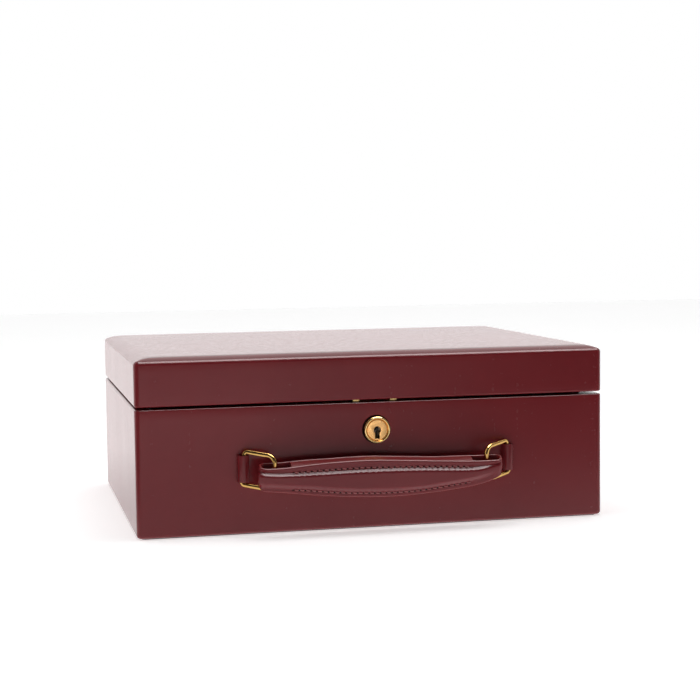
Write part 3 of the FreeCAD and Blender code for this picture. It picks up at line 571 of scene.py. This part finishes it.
# painted shade: the rings' brass is the polished brass with its base colour lowered to stand in for shade
# on the wire, plus some real tarnish
RING_BRASS_SHADED = brass("ring_brass_shaded", rough=0.14, colour=(0.66, 0.40, 0.13), tarnish=0.45)
BRASS_FACE = brass("lock_brass", rough=0.14, colour=(0.97, 0.54, 0.21), tarnish=0.10)
BRASS_PLATE = brass("plate_brass", rough=0.24, tarnish=0.8, brushed=(0.15, 3.0, 3.0))
STEEL = steel("lock_steel")
PIN_STEEL = steel("blued_pin", (0.045, 0.038, 0.034), (0.02, 0.015, 0.013))
WOOD = wood("poplar_board")
SUEDE = suede("lining_suede", (0.115, 0.020, 0.022), (0.20, 0.042, 0.044))
VELVET = suede("roll_velvet", (0.105, 0.014, 0.018), (0.19, 0.034, 0.040), nap=0.5)
THREAD = thread("saddle_thread")
HOLE_SHADE = painted_hole_shade("awl_hole_painted_shade")


# ---------- handle
GRIP_HALF, GRIP_T, GRIP_SKIN, EYE_INNER = 77.3, 9.2, 1.7, 57.5
GRIP_TILT = math.radians(9.0)
GRIP_CENTRE = Vector((0, -125.8144, 38.3))  # where the CAD handle hangs at rest
NOTCH = -6.6  # back layer's lower edge at the eyes
STITCH_PITCH = 3.7
RIB_OUT, RIB_SLOPE, RIB_RISE, RIB_ROLL = 2.3, 1.0, 0.66, 2.4


def drawn(points):
    """A smooth curve z(x) along drawn points."""
    soften, step = 3.0, 0.5
    xs = np.arange(-90.0, 90.0 + step, step)
    values = np.interp(xs, [p[0] for p in points], [p[1] for p in points])
    reach = np.arange(-4 * soften, 4 * soften + step / 2, step)
    weights = np.exp(-0.5 * (reach / soften) ** 2)
    padded = np.pad(values, len(reach) // 2, mode="edge")
    softened = np.convolve(padded, weights / weights.sum(), mode="valid")
    return lambda x: float(np.interp(x, xs, softened))


grip_top = drawn([(-78, 5.7), (-66, 5.5), (-58, 5.9), (-46, 7.1), (-34, 7.9), (-16, 8.4),
                  (-5, 8.3), (17, 7.0), (36, 5.9), (56, 4.8), (66, 4.5), (78, 4.8)])
grip_low = drawn([(-78, -8.6), (-68, -9.7), (-57, -10.9), (-45, -12.6), (-33, -13.9),
                  (-21, -15.0), (-8, -15.8), (4.5, -16.1), (17.5, -15.8), (37, -14.4),
                  (57, -12.0), (67, -9.8), (73, -7.4), (78, -5.0)])
upper_seam = drawn([(-57, 2.5), (-46, 2.9), (-34, 3.4), (-16, 3.7), (0, 3.4), (23, 2.9),
                    (43, 2.0), (57, 1.1)])
lower_seam = drawn([(-78, -6.5), (-57, -8.4), (-45, -9.4), (-37, -10.5), (-27, -11.6),
                    (-18, -12.3), (-3, -13.0), (8, -13.2), (24, -12.7), (40, -10.9),
                    (56, -9.0), (78, -4.0)])
rib_start = drawn([(-78, 3.6), (-68, 2.3), (-52, 2.1), (-34, 2.3), (-16, 2.6), (0, 2.5),
                   (10, 2.4), (30, 1.8), (49, 0.7), (60, 0.7), (69, 1.6), (78, 3.4)])


def ease(t):
    t = min(1.0, max(0.0, t))
    return t * t * (3 - 2 * t)


def shoulder(depth):
    """0 to 1 over the rib's upper edge: a steep slope, then a rounding."""
    if depth <= 0:
        return 0.0
    if depth < RIB_SLOPE:
        return RIB_RISE * depth / RIB_SLOPE
    return RIB_RISE + (1 - RIB_RISE) * (1 - (1 - min(1.0, (depth - RIB_SLOPE) / RIB_ROLL)) ** 4)


def pad_height(x, z):
    """How far the stuffed middle of the front face stands out, and the seams press in."""
    scallop = 0.16 * math.cos(2 * math.pi * x / STITCH_PITCH) if abs(x) < EYE_INNER - 0.5 else 0.0
    rise = shoulder(rib_start(x) + scallop - z)
    fall = ease((z - lower_seam(x) + 0.2) / 4.5)
    seams = 0.0
    if abs(x) < EYE_INNER:
        for seam in (upper_seam(x), lower_seam(x)):
            seams -= 0.22 * math.exp(-((z - seam) / 0.6) ** 2)
    groove = 0.22 * math.exp(-((z - rib_start(x) - 0.4) / 0.5) ** 2)
    wing = 0.35 * math.exp(-((z - grip_top(x) + 0.7) / 0.9) ** 2)
    full = 1 - 0.7 * ease((x - 60) / 14)
    return RIB_OUT * rise * fall * full + seams + wing - groove


def back_top(x):
    """The back leather stands a little higher than the front one, most of all at the eyes."""
    return grip_top(x) + 0.3 + 1.0 * ease((abs(x) - 30) / 30)


def back_low(x):
    """The back leather is cut away at the eyes, so that the rings' lower arms pass."""
    return grip_low(x) + (max(NOTCH, grip_low(x)) - grip_low(x)) * ease((abs(x) - EYE_INNER) / 3)


def place_grip(v):
    return Euler((GRIP_TILT, 0, 0)).to_matrix() @ Vector(v) + GRIP_CENTRE


def stadium_path(half_x, half_y, steps_straight, steps_end):
    """((x, y), (nx, ny)) round an upright bar with round ends, seen from above, front face first."""
    flat = half_x - half_y
    path = []
    for way in (1, -1):
        for i in range(steps_straight):
            path.append(((way * flat * (2 * i / steps_straight - 1), -way * half_y), (0, -way)))
        for i in range(steps_end):
            a = -way * math.pi / 2 + math.pi * i / steps_end
            nx, ny = math.cos(a), math.sin(a)
            path.append(((way * flat + half_y * nx, half_y * ny), (nx, ny)))
    return path


def strap_band(material):
    """The strap: one band of leather round both eyes, stuffed on its front face."""
    path = stadium_path(GRIP_HALF, GRIP_T / 2, 300, 18)
    rows, edge = 44, 1.15  # edge: radius of the strap's rounded edges
    turn = [(edge * (1 - math.cos(math.radians(a))), edge * (1 - math.sin(math.radians(a))))
            for a in (25, 50, 75)]
    verts = []
    for (x, y), (nx, ny) in path:
        behind = ease((ny + 1) / 2 * 1.3)
        facing = ease(-ny * 1.4)
        top = grip_top(x) + (back_top(x) - grip_top(x)) * behind
        low = grip_low(x) + (back_low(x) - grip_low(x)) * behind
        section = []
        for i in range(rows + 1):
            z = low + edge + (top - low - 2 * edge) * i / rows
            section.append((pad_height(x, z) * facing + 0.10 * hand(x, y, z, 0.10, 2.0) * behind, z))
        high_out, low_out = section[-1][0], section[0][0]
        inner = [(-0.95, 0.0), (-1.35, 0.12), (-GRIP_SKIN, 0.5)]
        section += [(high_out - back, top - drop) for back, drop in turn]
        section += [(out, top - drop) for out, drop in inner]
        section += [(out, low + drop) for out, drop in reversed(inner)]
        section += [(low_out - back, low + drop) for back, drop in reversed(turn)]
        verts += [place_grip((x + nx * out, y + ny * out, z)) for out, z in section]
    count = len(section)
    faces = grid_faces(len(path), count, wrap_rows=True, wrap_columns=True)
    painted = [rows + 2 + k for k in range(4)] + [rows + 8 + k for k in range(4)]
    second = [i * count + j for i in range(len(path)) for j in painted]
    band = make_mesh("handle_strap", verts, faces, material, "grip", angle=60, second=second)
    band.data.materials.append(EDGE)
    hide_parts("grip_leather")


def grip_filler(material):
    """The filler between front and back leathers, its painted top and bottom edges slightly crowned."""
    half_y = GRIP_T / 2 - GRIP_SKIN + 0.12
    columns, across = 96, 10
    verts = []
    for i in range(columns + 1):
        x = -EYE_INNER + 2 * EYE_INNER * i / columns
        for j in range(across + 1):
            t = j / across
            z = grip_top(x) + (back_top(x) - grip_top(x)) * t - 0.3
            verts.append(place_grip((x, half_y * (2 * t - 1), z + 0.9 * t * (1 - t))))
        for j in range(across + 1):
            t = 1 - j / across
            verts.append(place_grip((x, half_y * (2 * t - 1), grip_low(x) + 0.3 - 0.9 * t * (1 - t))))
    section = 2 * (across + 1)
    faces = grid_faces(columns + 1, section, wrap_columns=True)
    faces.append(tuple(range(section)))
    faces.append(tuple(reversed(range(columns * section, (columns + 1) * section))))
    filler = make_mesh("handle_filler", verts, faces, material, "grip", angle=50)
    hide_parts("grip_core")


def tube(points, radii):
    """Verts and faces of a closed tube along points, with a radius at each."""
    sides = 8
    verts = []
    for i, p in enumerate(points):
        before, after = points[max(i - 1, 0)], points[min(i + 1, len(points) - 1)]
        along = (after - before).normalized()
        side = along.cross(Vector((0, 1, 0.2))).normalized()
        up = side.cross(along)
        for j in range(sides):
            a = 2 * math.pi * j / sides
            verts.append(p + (side * math.cos(a) + up * math.sin(a)) * radii[i])
    faces = grid_faces(len(points), sides, wrap_columns=True)
    faces.append(tuple(range(sides)))
    faces.append(tuple(reversed(range((len(points) - 1) * sides, len(points) * sides))))
    return verts, faces


def stitches(thread_material, slit_shade_material):
    """Two rows of saddle stitches on the front of the grip, and dark lenses of painted shade for the awl
    slits between them.
    """
    rows = [(upper_seam, -56.5, 55.0, 0.75), (lower_seam, -56.5, 56.5, 0.55)]
    thread_verts, thread_faces, slit_shade_verts, slit_shade_faces = [], [], [], []
    front = -GRIP_T / 2
    for seam, first, last, slant in rows:
        count = round((last - first) / STITCH_PITCH)
        for i in range(count):
            x0 = first + (last - first) * i / count
            points, radii = [], []
            for k in range(8):
                t = k / 7
                x = x0 + STITCH_PITCH * (0.14 + 0.74 * t)
                z = seam(x) + slant * (0.5 - t)
                lift = 0.42 * math.sin(math.pi * t) - 0.22
                points.append(place_grip((x, front - pad_height(x, z) - lift, z)))
                radii.append(0.24 + 0.26 * math.sin(math.pi * t) ** 0.6)
            add_to(thread_verts, thread_faces, tube(points, radii))
            z = seam(x0)
            # painted shade: each slit is a dark lens standing in for the shade inside the awl cut
            slit = Vector((x0, front - pad_height(x0, z) - 0.03, z))
            add_to(slit_shade_verts, slit_shade_faces, slit_shade_lens(slit, 1.15, 0.52, math.radians(38)))
    make_mesh("handle_stitches", thread_verts, thread_faces, thread_material, "grip")
    make_mesh("handle_slit_shade", slit_shade_verts, slit_shade_faces, slit_shade_material, "grip")


def slit_shade_lens(centre, long, short, lean):
    """A small dark lens of painted shade for an awl slit, leaning the way an awl cuts."""
    steps = 12
    rings = []
    for scale, out in ((1.0, -0.05), (0.6, -0.13), (1.0, 0.30)):
        for k in range(steps):
            a = 2 * math.pi * k / steps
            u, v = long * scale * math.cos(a), short * scale * math.sin(a)
            rings.append(place_grip(centre + Vector((u * math.cos(lean) - v * math.sin(lean), out,
                                                     u * math.sin(lean) + v * math.cos(lean)))))
    faces = [(i, (i + 1) % steps, steps + (i + 1) % steps, steps + i) for i in range(steps)]
    faces += [((i + 1) % steps, i, 2 * steps + i, 2 * steps + (i + 1) % steps) for i in range(steps)]
    faces += [tuple(range(steps, 2 * steps)), tuple(reversed(range(2 * steps, 3 * steps)))]
    return rings, faces


def add_to(verts, faces, made):
    start = len(verts)
    verts += made[0]
    faces += [tuple(start + i for i in f) for f in made[1]]


RING_REACH, RING_H, RING_NEAR_R, RING_FAR_R = 20.4, 20.6, 2.0, 5.2
RING_SWING = math.radians(32.6)
WIRE = 1.34  # half the wire's thickness


def ring_line():
    """Points of the ring's centre line as (u, z), the near bar on u = 0."""
    half = RING_H / 2
    corners = [(RING_NEAR_R, half - RING_NEAR_R, RING_NEAR_R, 180, 90),
               (RING_REACH - RING_FAR_R, half - RING_FAR_R, RING_FAR_R, 90, 0),
               (RING_REACH - RING_FAR_R, -half + RING_FAR_R, RING_FAR_R, 0, -90),
               (RING_NEAR_R, -half + RING_NEAR_R, RING_NEAR_R, -90, -180)]
    points = []
    for cu, cz, r, start, end in corners:
        for i in range(13):
            a = math.radians(start + (end - start) * i / 12)
            points.append((cu + r * math.cos(a), cz + r * math.sin(a)))
    dense = []
    for i, p in enumerate(points):
        q = points[(i + 1) % len(points)]
        gap = math.hypot(q[0] - p[0], q[1] - p[1])
        steps = max(1, round(gap / 1.6))
        for k in range(steps):
            dense.append((p[0] + (q[0] - p[0]) * k / steps, p[1] + (q[1] - p[1]) * k / steps))
    return dense


def wire_section():
    """Rounded square section: (across the ring's plane, in the plane)."""
    steps, squareness = 20, 0.62
    points = []
    for i in range(steps):
        a = 2 * math.pi * (i + 0.5) / steps
        points.append([WIRE * math.copysign(abs(c) ** squareness, c) for c in (math.cos(a), math.sin(a))])
    return points


def brass_ring(side, material):
    """A wire ring in its joint's place: the near bar in the tab, the far bar in the handle's eye."""
    body = "ring_left" if side < 0 else "ring_right"
    joint = JOINTS[body]
    pivot = Vector(joint["pos_m"]) / MM
    up = Vector(joint["axis"]).normalized()
    flat = Vector((-side * math.cos(RING_SWING), -math.sin(RING_SWING), 0))
    out = (flat - up * flat.dot(up)).normalized()
    across = out.cross(up)
    line = ring_line()
    section = wire_section()
    verts = []
    for i, (u, z) in enumerate(line):
        before, after = line[i - 1], line[(i + 1) % len(line)]
        tangent = Vector((after[0] - before[0], after[1] - before[1])).normalized()
        normal = (tangent.y, -tangent.x)
        wear = 1.0 + 0.03 * hand(u * side, z, 0.0, 0.25, 4.0)
        for a, b in section:
            p = pivot + out * (u + normal[0] * b * wear) + up * (z + normal[1] * b * wear)
            verts.append(p + across * a * wear)
    faces = grid_faces(len(line), len(section), wrap_rows=True, wrap_columns=True)
    ring = make_mesh("brass_" + body, verts, faces, material, body, angle=60)
    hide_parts(body)


# ---------- lock
def lock_face(material, inner_material):
    """Turned rosette with a rolled rim and a bevel, round a flat disc with the keyhole, and a dark ring
    of painted shade in the gap round the rosette.
    """
    lip, rear = LOCK_LOW.y, LOCK_HIGH.y
    inner = node_box("lock_barrel")[1].x + 0.05
    roll = 0.75
    profile = [(inner, rear), (ROSETTE_R, rear), (ROSETTE_R, lip + 1.25)]
    profile += [(ROSETTE_R - a, lip + b) for a, b in quarter(roll, 6, 0, 90)]
    crest = ROSETTE_R - roll - 0.15
    profile += [(crest, lip), (crest - 0.25, lip + 0.10), (inner + 0.12, lip + 0.62), (inner, lip + 0.8)]
    rosette = lathe("lock_rosette_ring", profile, 112, material, "case")
    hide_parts("lock_rosette")
    # painted shade: a dark ring inside the recess stands in for the shade that falls in the gap round the
    # rosette
    near, far, front, back = ROSETTE_R - 0.6, ROSETTE_R + 1.1, -HALF_D + 0.9, -HALF_D + 1.6
    gap_shade_ring = [(near, front), (far, front), (far, back), (near, back)]
    lathe("lock_recess_painted_shade", gap_shade_ring, 64, HOLE_SHADE, "case")
    bevelled_copy("lock_barrel", "lock_disc", inner_material, "case", 0.22)


# ---------- soft furnishings
SIM_FRAMES, SIM_PRESSURE = 20, 4.0
PAD_VOXEL, PAD_CAP = 2.5, 0.8  # size of a cover's cells, and how far its points may move
ROLL_VOXEL, ROLL_CAP = 1.6, 1.2
SLACK = 0.95  # size of a roll's cover before it is stuffed
DRAWN_IN = 6.0  # length over which a roll narrows to its ends


def settled_mesh(obj):
    """The object's mesh with its modifiers worked in."""
    graph = bpy.context.evaluated_depsgraph_get()
    graph.update()
    return bpy.data.meshes.new_from_object(obj.evaluated_get(graph))


def stuffed(mesh, low, high, voxel, cap):
    """The cover blown up from inside as cloth; no point moves further than cap or leaves its box."""
    scene = bpy.context.scene
    cover = bpy.data.objects.new("cover", mesh)
    scene.collection.objects.link(cover)
    remesh = cover.modifiers.new("even", "REMESH")
    remesh.mode = "VOXEL"
    remesh.voxel_size = voxel * MM
    even = settled_mesh(cover)
    cover.modifiers.clear()
    cover.data = even
    cloth = cover.modifiers.new("cloth", "CLOTH")
    cloth.settings.use_pressure = True
    cloth.settings.uniform_pressure_force = SIM_PRESSURE
    cloth.settings.effector_weights.gravity = 0.0
    cloth.point_cache.frame_start = 1
    cloth.point_cache.frame_end = SIM_FRAMES
    for frame_number in range(1, SIM_FRAMES + 1):
        scene.frame_set(frame_number)
    blown = settled_mesh(cover)
    cover.modifiers.clear()
    scene.frame_set(1)
    for v, target in zip(even.vertices, blown.vertices):
        move = target.co - v.co
        if move.length > cap * MM:
            move = move.normalized() * cap * MM
        place = v.co + move
        v.co = [min(max(place[i], low[i] * MM), high[i] * MM) for i in range(3)]
    cover.modifiers.new("fine", "SUBSURF").levels = 1
    fine = settled_mesh(cover)
    bpy.data.objects.remove(cover)
    return fine


def soft_box(node, name, edge, crown, material, body, seed):
    """A padded panel: rolled edges, a crowned face, and sides that draw in between the corners.
    A crown above zero is on the panel's top, one below zero on its underside."""
    low, high = node_box(node)
    size = high - low
    spacing, drawn_in = 5.0, 0.6
    counts = [max(4, round(s / spacing)) for s in size]
    bm = bmesh.new()
    bmesh.ops.create_cube(bm, size=1.0)
    for axis in range(3):
        for i in range(1, counts[axis]):
            at = Vector((0, 0, 0))
            at[axis] = -0.5 + i / counts[axis]
            normal = Vector((0, 0, 0))
            normal[axis] = 1
            bmesh.ops.bisect_plane(bm, geom=bm.verts[:] + bm.edges[:] + bm.faces[:], plane_co=at,
                                   plane_no=normal)
    centre = (low + high) / 2
    inner = size / 2 - Vector((edge, edge, edge))
    for v in bm.verts:
        p = Vector((v.co[i] * size[i] for i in range(3)))
        core = Vector((max(-inner[i], min(inner[i], p[i])) for i in range(3)))
        arm = p - core
        if arm.length > 1e-6:
            p = core + arm.normalized() * edge
        s, t = 2 * v.co.x, 2 * v.co.y
        full = max(0.0, 1 - s ** 4) * max(0.0, 1 - t ** 4)
        if (p.z > 0) == (crown > 0):
            p.z += crown * (full ** 0.5 - 1) + 0.12 * hand(p.x, p.y, 0, 0.06, seed)
        p.x -= math.copysign(drawn_in * max(0.0, 1 - t * t) * (abs(s) > 0.9), s)
        p.y -= math.copysign(drawn_in * max(0.0, 1 - s * s) * (abs(t) > 0.9), t)
        v.co = (p + centre) * MM
    mesh = bpy.data.meshes.new(name)
    bm.to_mesh(mesh)
    bm.free()
    mesh = stuffed(mesh, low, high, PAD_VOXEL, PAD_CAP)
    piece = finish_mesh(name, mesh, material, body, angle=80, weld=False)
    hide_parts(node)


def ring_roll(node, name, seed, material):
    """One stuffed roll: a full round top, flat foot, and ends drawn in to a seam."""
    low, high = node_box(node)
    length, steps = high.x - low.x, 64
    radius = (high.y - low.y) / 2 * SLACK
    centre_y, shoulder = (low.y + high.y) / 2, low.z + (high.z - low.z) * SLACK - radius
    verts = []
    around = 28
    for i in range(steps + 1):
        t = i / steps
        x = low.x + length * t
        draw = ease(min(t, 1 - t) * length / DRAWN_IN)
        shrink = 0.80 + 0.20 * draw
        swell = 1.0 + 0.012 * math.sin(9 * math.pi * t + seed)
        swell += 0.03 * hand(x, seed * 7.0, 0, 0.05, seed)
        for j in range(around):
            a = 2 * math.pi * j / around
            c, s = math.cos(a), math.sin(a)
            if s >= 0:
                y, z = radius * c, shoulder + radius * s * swell
            else:
                y = radius * math.copysign(abs(c) ** 0.45, c)
                z = shoulder - (shoulder - low.z) * abs(s) ** 0.6
            tuck = 0.35 * math.exp(-((z - shoulder) / 3.0) ** 2)
            y = (y - math.copysign(tuck, y)) * shrink
            z = low.z + (z - low.z) * (0.88 + 0.12 * draw)
            verts.append(Vector((x, centre_y + y, z)))
    faces = grid_faces(steps + 1, around, wrap_columns=True)
    faces.append(tuple(range(around)))
    faces.append(tuple(reversed(range(steps * around, (steps + 1) * around))))
    mesh = bpy.data.meshes.new(name)
    mesh.from_pydata([v * MM for v in verts], [], faces)
    mesh = stuffed(mesh, low, high, ROLL_VOXEL, ROLL_CAP)
    roll = finish_mesh(name, mesh, material, "tray", angle=80, weld=False)
    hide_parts(node)


# ---------- assemble
base_shell(CALF)
lid_shell(CALF)
lid_panel(WOOD)
for side in (-1, 1):
    brass_ring(side, RING_BRASS_SHADED)
strap_band(STRAP)
grip_filler(EDGE)
stitches(THREAD, HOLE_SHADE)
lock_face(BRASS, BRASS_FACE)
for side in ("left", "right"):
    bevelled_copy("handle_tab_" + side, "leather_tab_" + side, STRAP, "case", 0.3)
soft_box("floor_pad", "padded_floor", 1.4, 0.9, SUEDE, "case", 2.0)
soft_box("lid_pad", "padded_lid_lining", 1.3, -1.0, SUEDE, "lid", 6.0)
for i in range(1, 6):
    ring_roll("ring_roll_%d" % i, "padded_roll_%d" % i, i, VELVET)
for node in ("tray_walls", "tray_long_divider", "tray_cross_dividers"):
    bevelled_copy(node, "covered_" + node, SUEDE, "tray", 0.55)
for node in ("lining_front", "lining_back", "lining_left", "lining_right"):
    bevelled_copy(node, "covered_" + node, SUEDE, "case", 0.45)

CAD_MATERIALS = [  # nodes that keep their CAD shape
    (WOOD, ["front_board", "back_board", "left_board", "right_board", "floor_board",
            "lid_front_board", "lid_back_board", "lid_left_board", "lid_right_board"]),
    (UNDERSIDE, ["underside_panel"]),
    (SUEDE, ["tray_ledge_left", "tray_ledge_right", "tray_floor", "lid_lining_front",
             "lid_lining_back", "lid_lining_left", "lid_lining_right"]),
    (BRASS_PLATE, ["lock_faceplate", "hasp_plate", "hinge_leaf_base", "hinge_leaf_lid"]),
    (BRASS, ["hinge_pin", "hinge_screws_base", "hinge_screws_lid", "lock_screws", "hasp_screws"]),
    (STEEL, ["lock_case", "lock_cap", "lock_bolt", "lock_spring", "tab_tacks"]),
    (PIN_STEEL, ["lock_drill_pin"]),
]
for material, names in CAD_MATERIALS:
    for name in names:
        slots = NODES[name].data.materials
        slots.clear()
        slots.append(material)


# ---------- room, light and camera, in metres
PAPER_GLOW = 0.62
PAPER, DARK = (0.86, 0.86, 0.86), (0.02, 0.02, 0.02)
BACKDROP, DARK_ROOM = 1.52, 0.035  # brightness behind and overhead, and in front
SOFT_SHARE = 0.60  # of the backdrop that lights surfaces softly


def sheet(name, n, tone, glow):
    """A floor sheet of paper that also glows, so that it stays pale whatever stands on it."""
    reach = 2.6
    mesh = bpy.data.meshes.new(name)
    mesh.from_pydata([(-reach, -reach, 0), (reach, -reach, 0), (reach, reach, 0), (-reach, reach, 0)],
                     [], [(0, 1, 2, 3)])
    floor = bpy.data.objects.new(name, mesh)
    bpy.context.scene.collection.objects.link(floor)
    n.set(colour=tone, rough=0.9, specular=0.1)
    light = n.filled(n.new("ShaderNodeEmission"), Color=tone, Strength=glow)
    both = n.new("ShaderNodeAddShader")
    for socket, shader in zip(both.inputs, (n.shader.outputs[0], light)):
        n.feed(socket, shader)
    n.feed(n.tree.nodes["Material Output"].inputs["Surface"], both.outputs[0])
    floor.data.materials.append(n.material)
    return floor


def floor_sheets():
    """Plain pale paper under the case, and the darker room that its polished leather mirrors."""
    n = Surface("floor_paper")
    fibres = n.range(n.noise(300.0, 2.0), 0.3, 0.7)
    paper = sheet("floor", n, n.mix(fibres, PAPER, (0.87, 0.87, 0.87)), PAPER_GLOW)
    paper.visible_glossy = False

    n = Surface("mirrored_floor")
    x, y, _ = n.axes()
    across = n.math("ADD", n.math("MULTIPLY", x, 0.936), n.math("MULTIPLY", y, 0.351))
    ahead = n.math("MULTIPLY", n.range(across, -0.24, 0.03), n.range(y, -0.16, -0.50))
    far = n.range(y, -1.5, -2.2)
    beside = n.range(n.math("ADD", x, n.math("MULTIPLY", y, -0.15)), -0.215, -0.27)
    beside = n.math("MULTIPLY", beside, n.range(y, -0.04, -0.12))
    dark = n.math("MAXIMUM", n.math("MAXIMUM", ahead, far), beside)
    glow = n.math("MAXIMUM", n.range(y, -0.35, -1.10, 0.36, 1.30), n.range(y, 0.02, 0.30, 0.36, 0.97))
    mirrored = sheet("floor_mirrored", n, n.mix(dark, PAPER, DARK), glow)
    mirrored.visible_camera = mirrored.visible_diffuse = mirrored.visible_shadow = False


def room():
    """A bright backdrop behind and overhead, a dark room in front; the picture's background is white."""
    world = bpy.data.worlds.new("studio")
    bpy.context.scene.world = world
    world.use_nodes = True
    world.node_tree.nodes.clear()
    n = Nodes(world.node_tree, "Generated")
    _, y, z = n.axes()
    backdrop = n.range(y, -0.16, 0.02, DARK_ROOM, BACKDROP, kind="SMOOTHSTEP")
    level = n.math("MULTIPLY", backdrop, n.range(z, 0.3, 0.8, 1.0, 0.7))
    path = n.new("ShaderNodeLightPath").outputs
    share = n.range(path["Is Glossy Ray"], 0.0, 1.0, SOFT_SHARE, 1.0)
    white = (1.0, 1.0, 1.0)
    lit = n.filled(n.new("ShaderNodeBackground"), Color=white, Strength=n.math("MULTIPLY", level, share))
    seen = n.filled(n.new("ShaderNodeBackground"), Color=white)
    choose = n.new("ShaderNodeMixShader")
    for socket, value in zip(choose.inputs, (path["Is Camera Ray"], lit, seen)):
        n.feed(socket, value)
    n.feed(n.new("ShaderNodeOutputWorld").inputs["Surface"], choose.outputs[0])


def area_light(name, place, target, size, power, glints_only=False):
    data = bpy.data.lights.new(name, "AREA")
    data.shape = "RECTANGLE"
    data.size, data.size_y = size
    data.energy = power
    lamp = bpy.data.objects.new(name, data)
    lamp.visible_diffuse = not glints_only
    lamp.visible_camera = False
    lamp.location = place
    lamp.rotation_euler = (Vector(target) - Vector(place)).to_track_quat("-Z", "Y").to_euler()
    bpy.context.scene.collection.objects.link(lamp)


CAMERA_PLACE = Vector((-238.13, -1057.82, 187.18))
CAMERA_TURN = (0.2303, 0.0771, -0.0112)  # yaw, pitch and roll in radians
CAMERA_LENS = 80.934


def camera():
    """Low three-quarter view from the left front."""
    place = CAMERA_PLACE * MM
    yaw, pitch, roll = CAMERA_TURN
    level = math.cos(pitch)
    forward = Vector((math.sin(yaw) * level, math.cos(yaw) * level, -math.sin(pitch)))
    right = Vector((math.cos(yaw), -math.sin(yaw), 0))
    up = right.cross(forward)
    turned_right = right * math.cos(roll) + up * math.sin(roll)
    turned_up = up * math.cos(roll) - right * math.sin(roll)
    data = bpy.data.cameras.new("camera")
    data.sensor_width = 36.0
    data.lens = CAMERA_LENS
    data.clip_start = 0.01
    cam = bpy.data.objects.new("camera", data)
    cam.matrix_world = Matrix((
        (turned_right.x, turned_up.x, -forward.x, place.x),
        (turned_right.y, turned_up.y, -forward.y, place.y),
        (turned_right.z, turned_up.z, -forward.z, place.z),
        (0, 0, 0, 1)))
    bpy.context.scene.collection.objects.link(cam)
    bpy.context.scene.camera = cam


floor_sheets()
room()
area_light("overhead_glints", (0.40, -0.34, 1.5), (0.40, -0.34, 0), (1.4, 1.2), 58.0, glints_only=True)
area_light("overhead_soft", (0.05, -0.14, 1.5), (0.05, -0.14, 0), (1.0, 0.6), 9.0)
camera()
bpy.context.scene.view_settings.view_transform = "Standard"
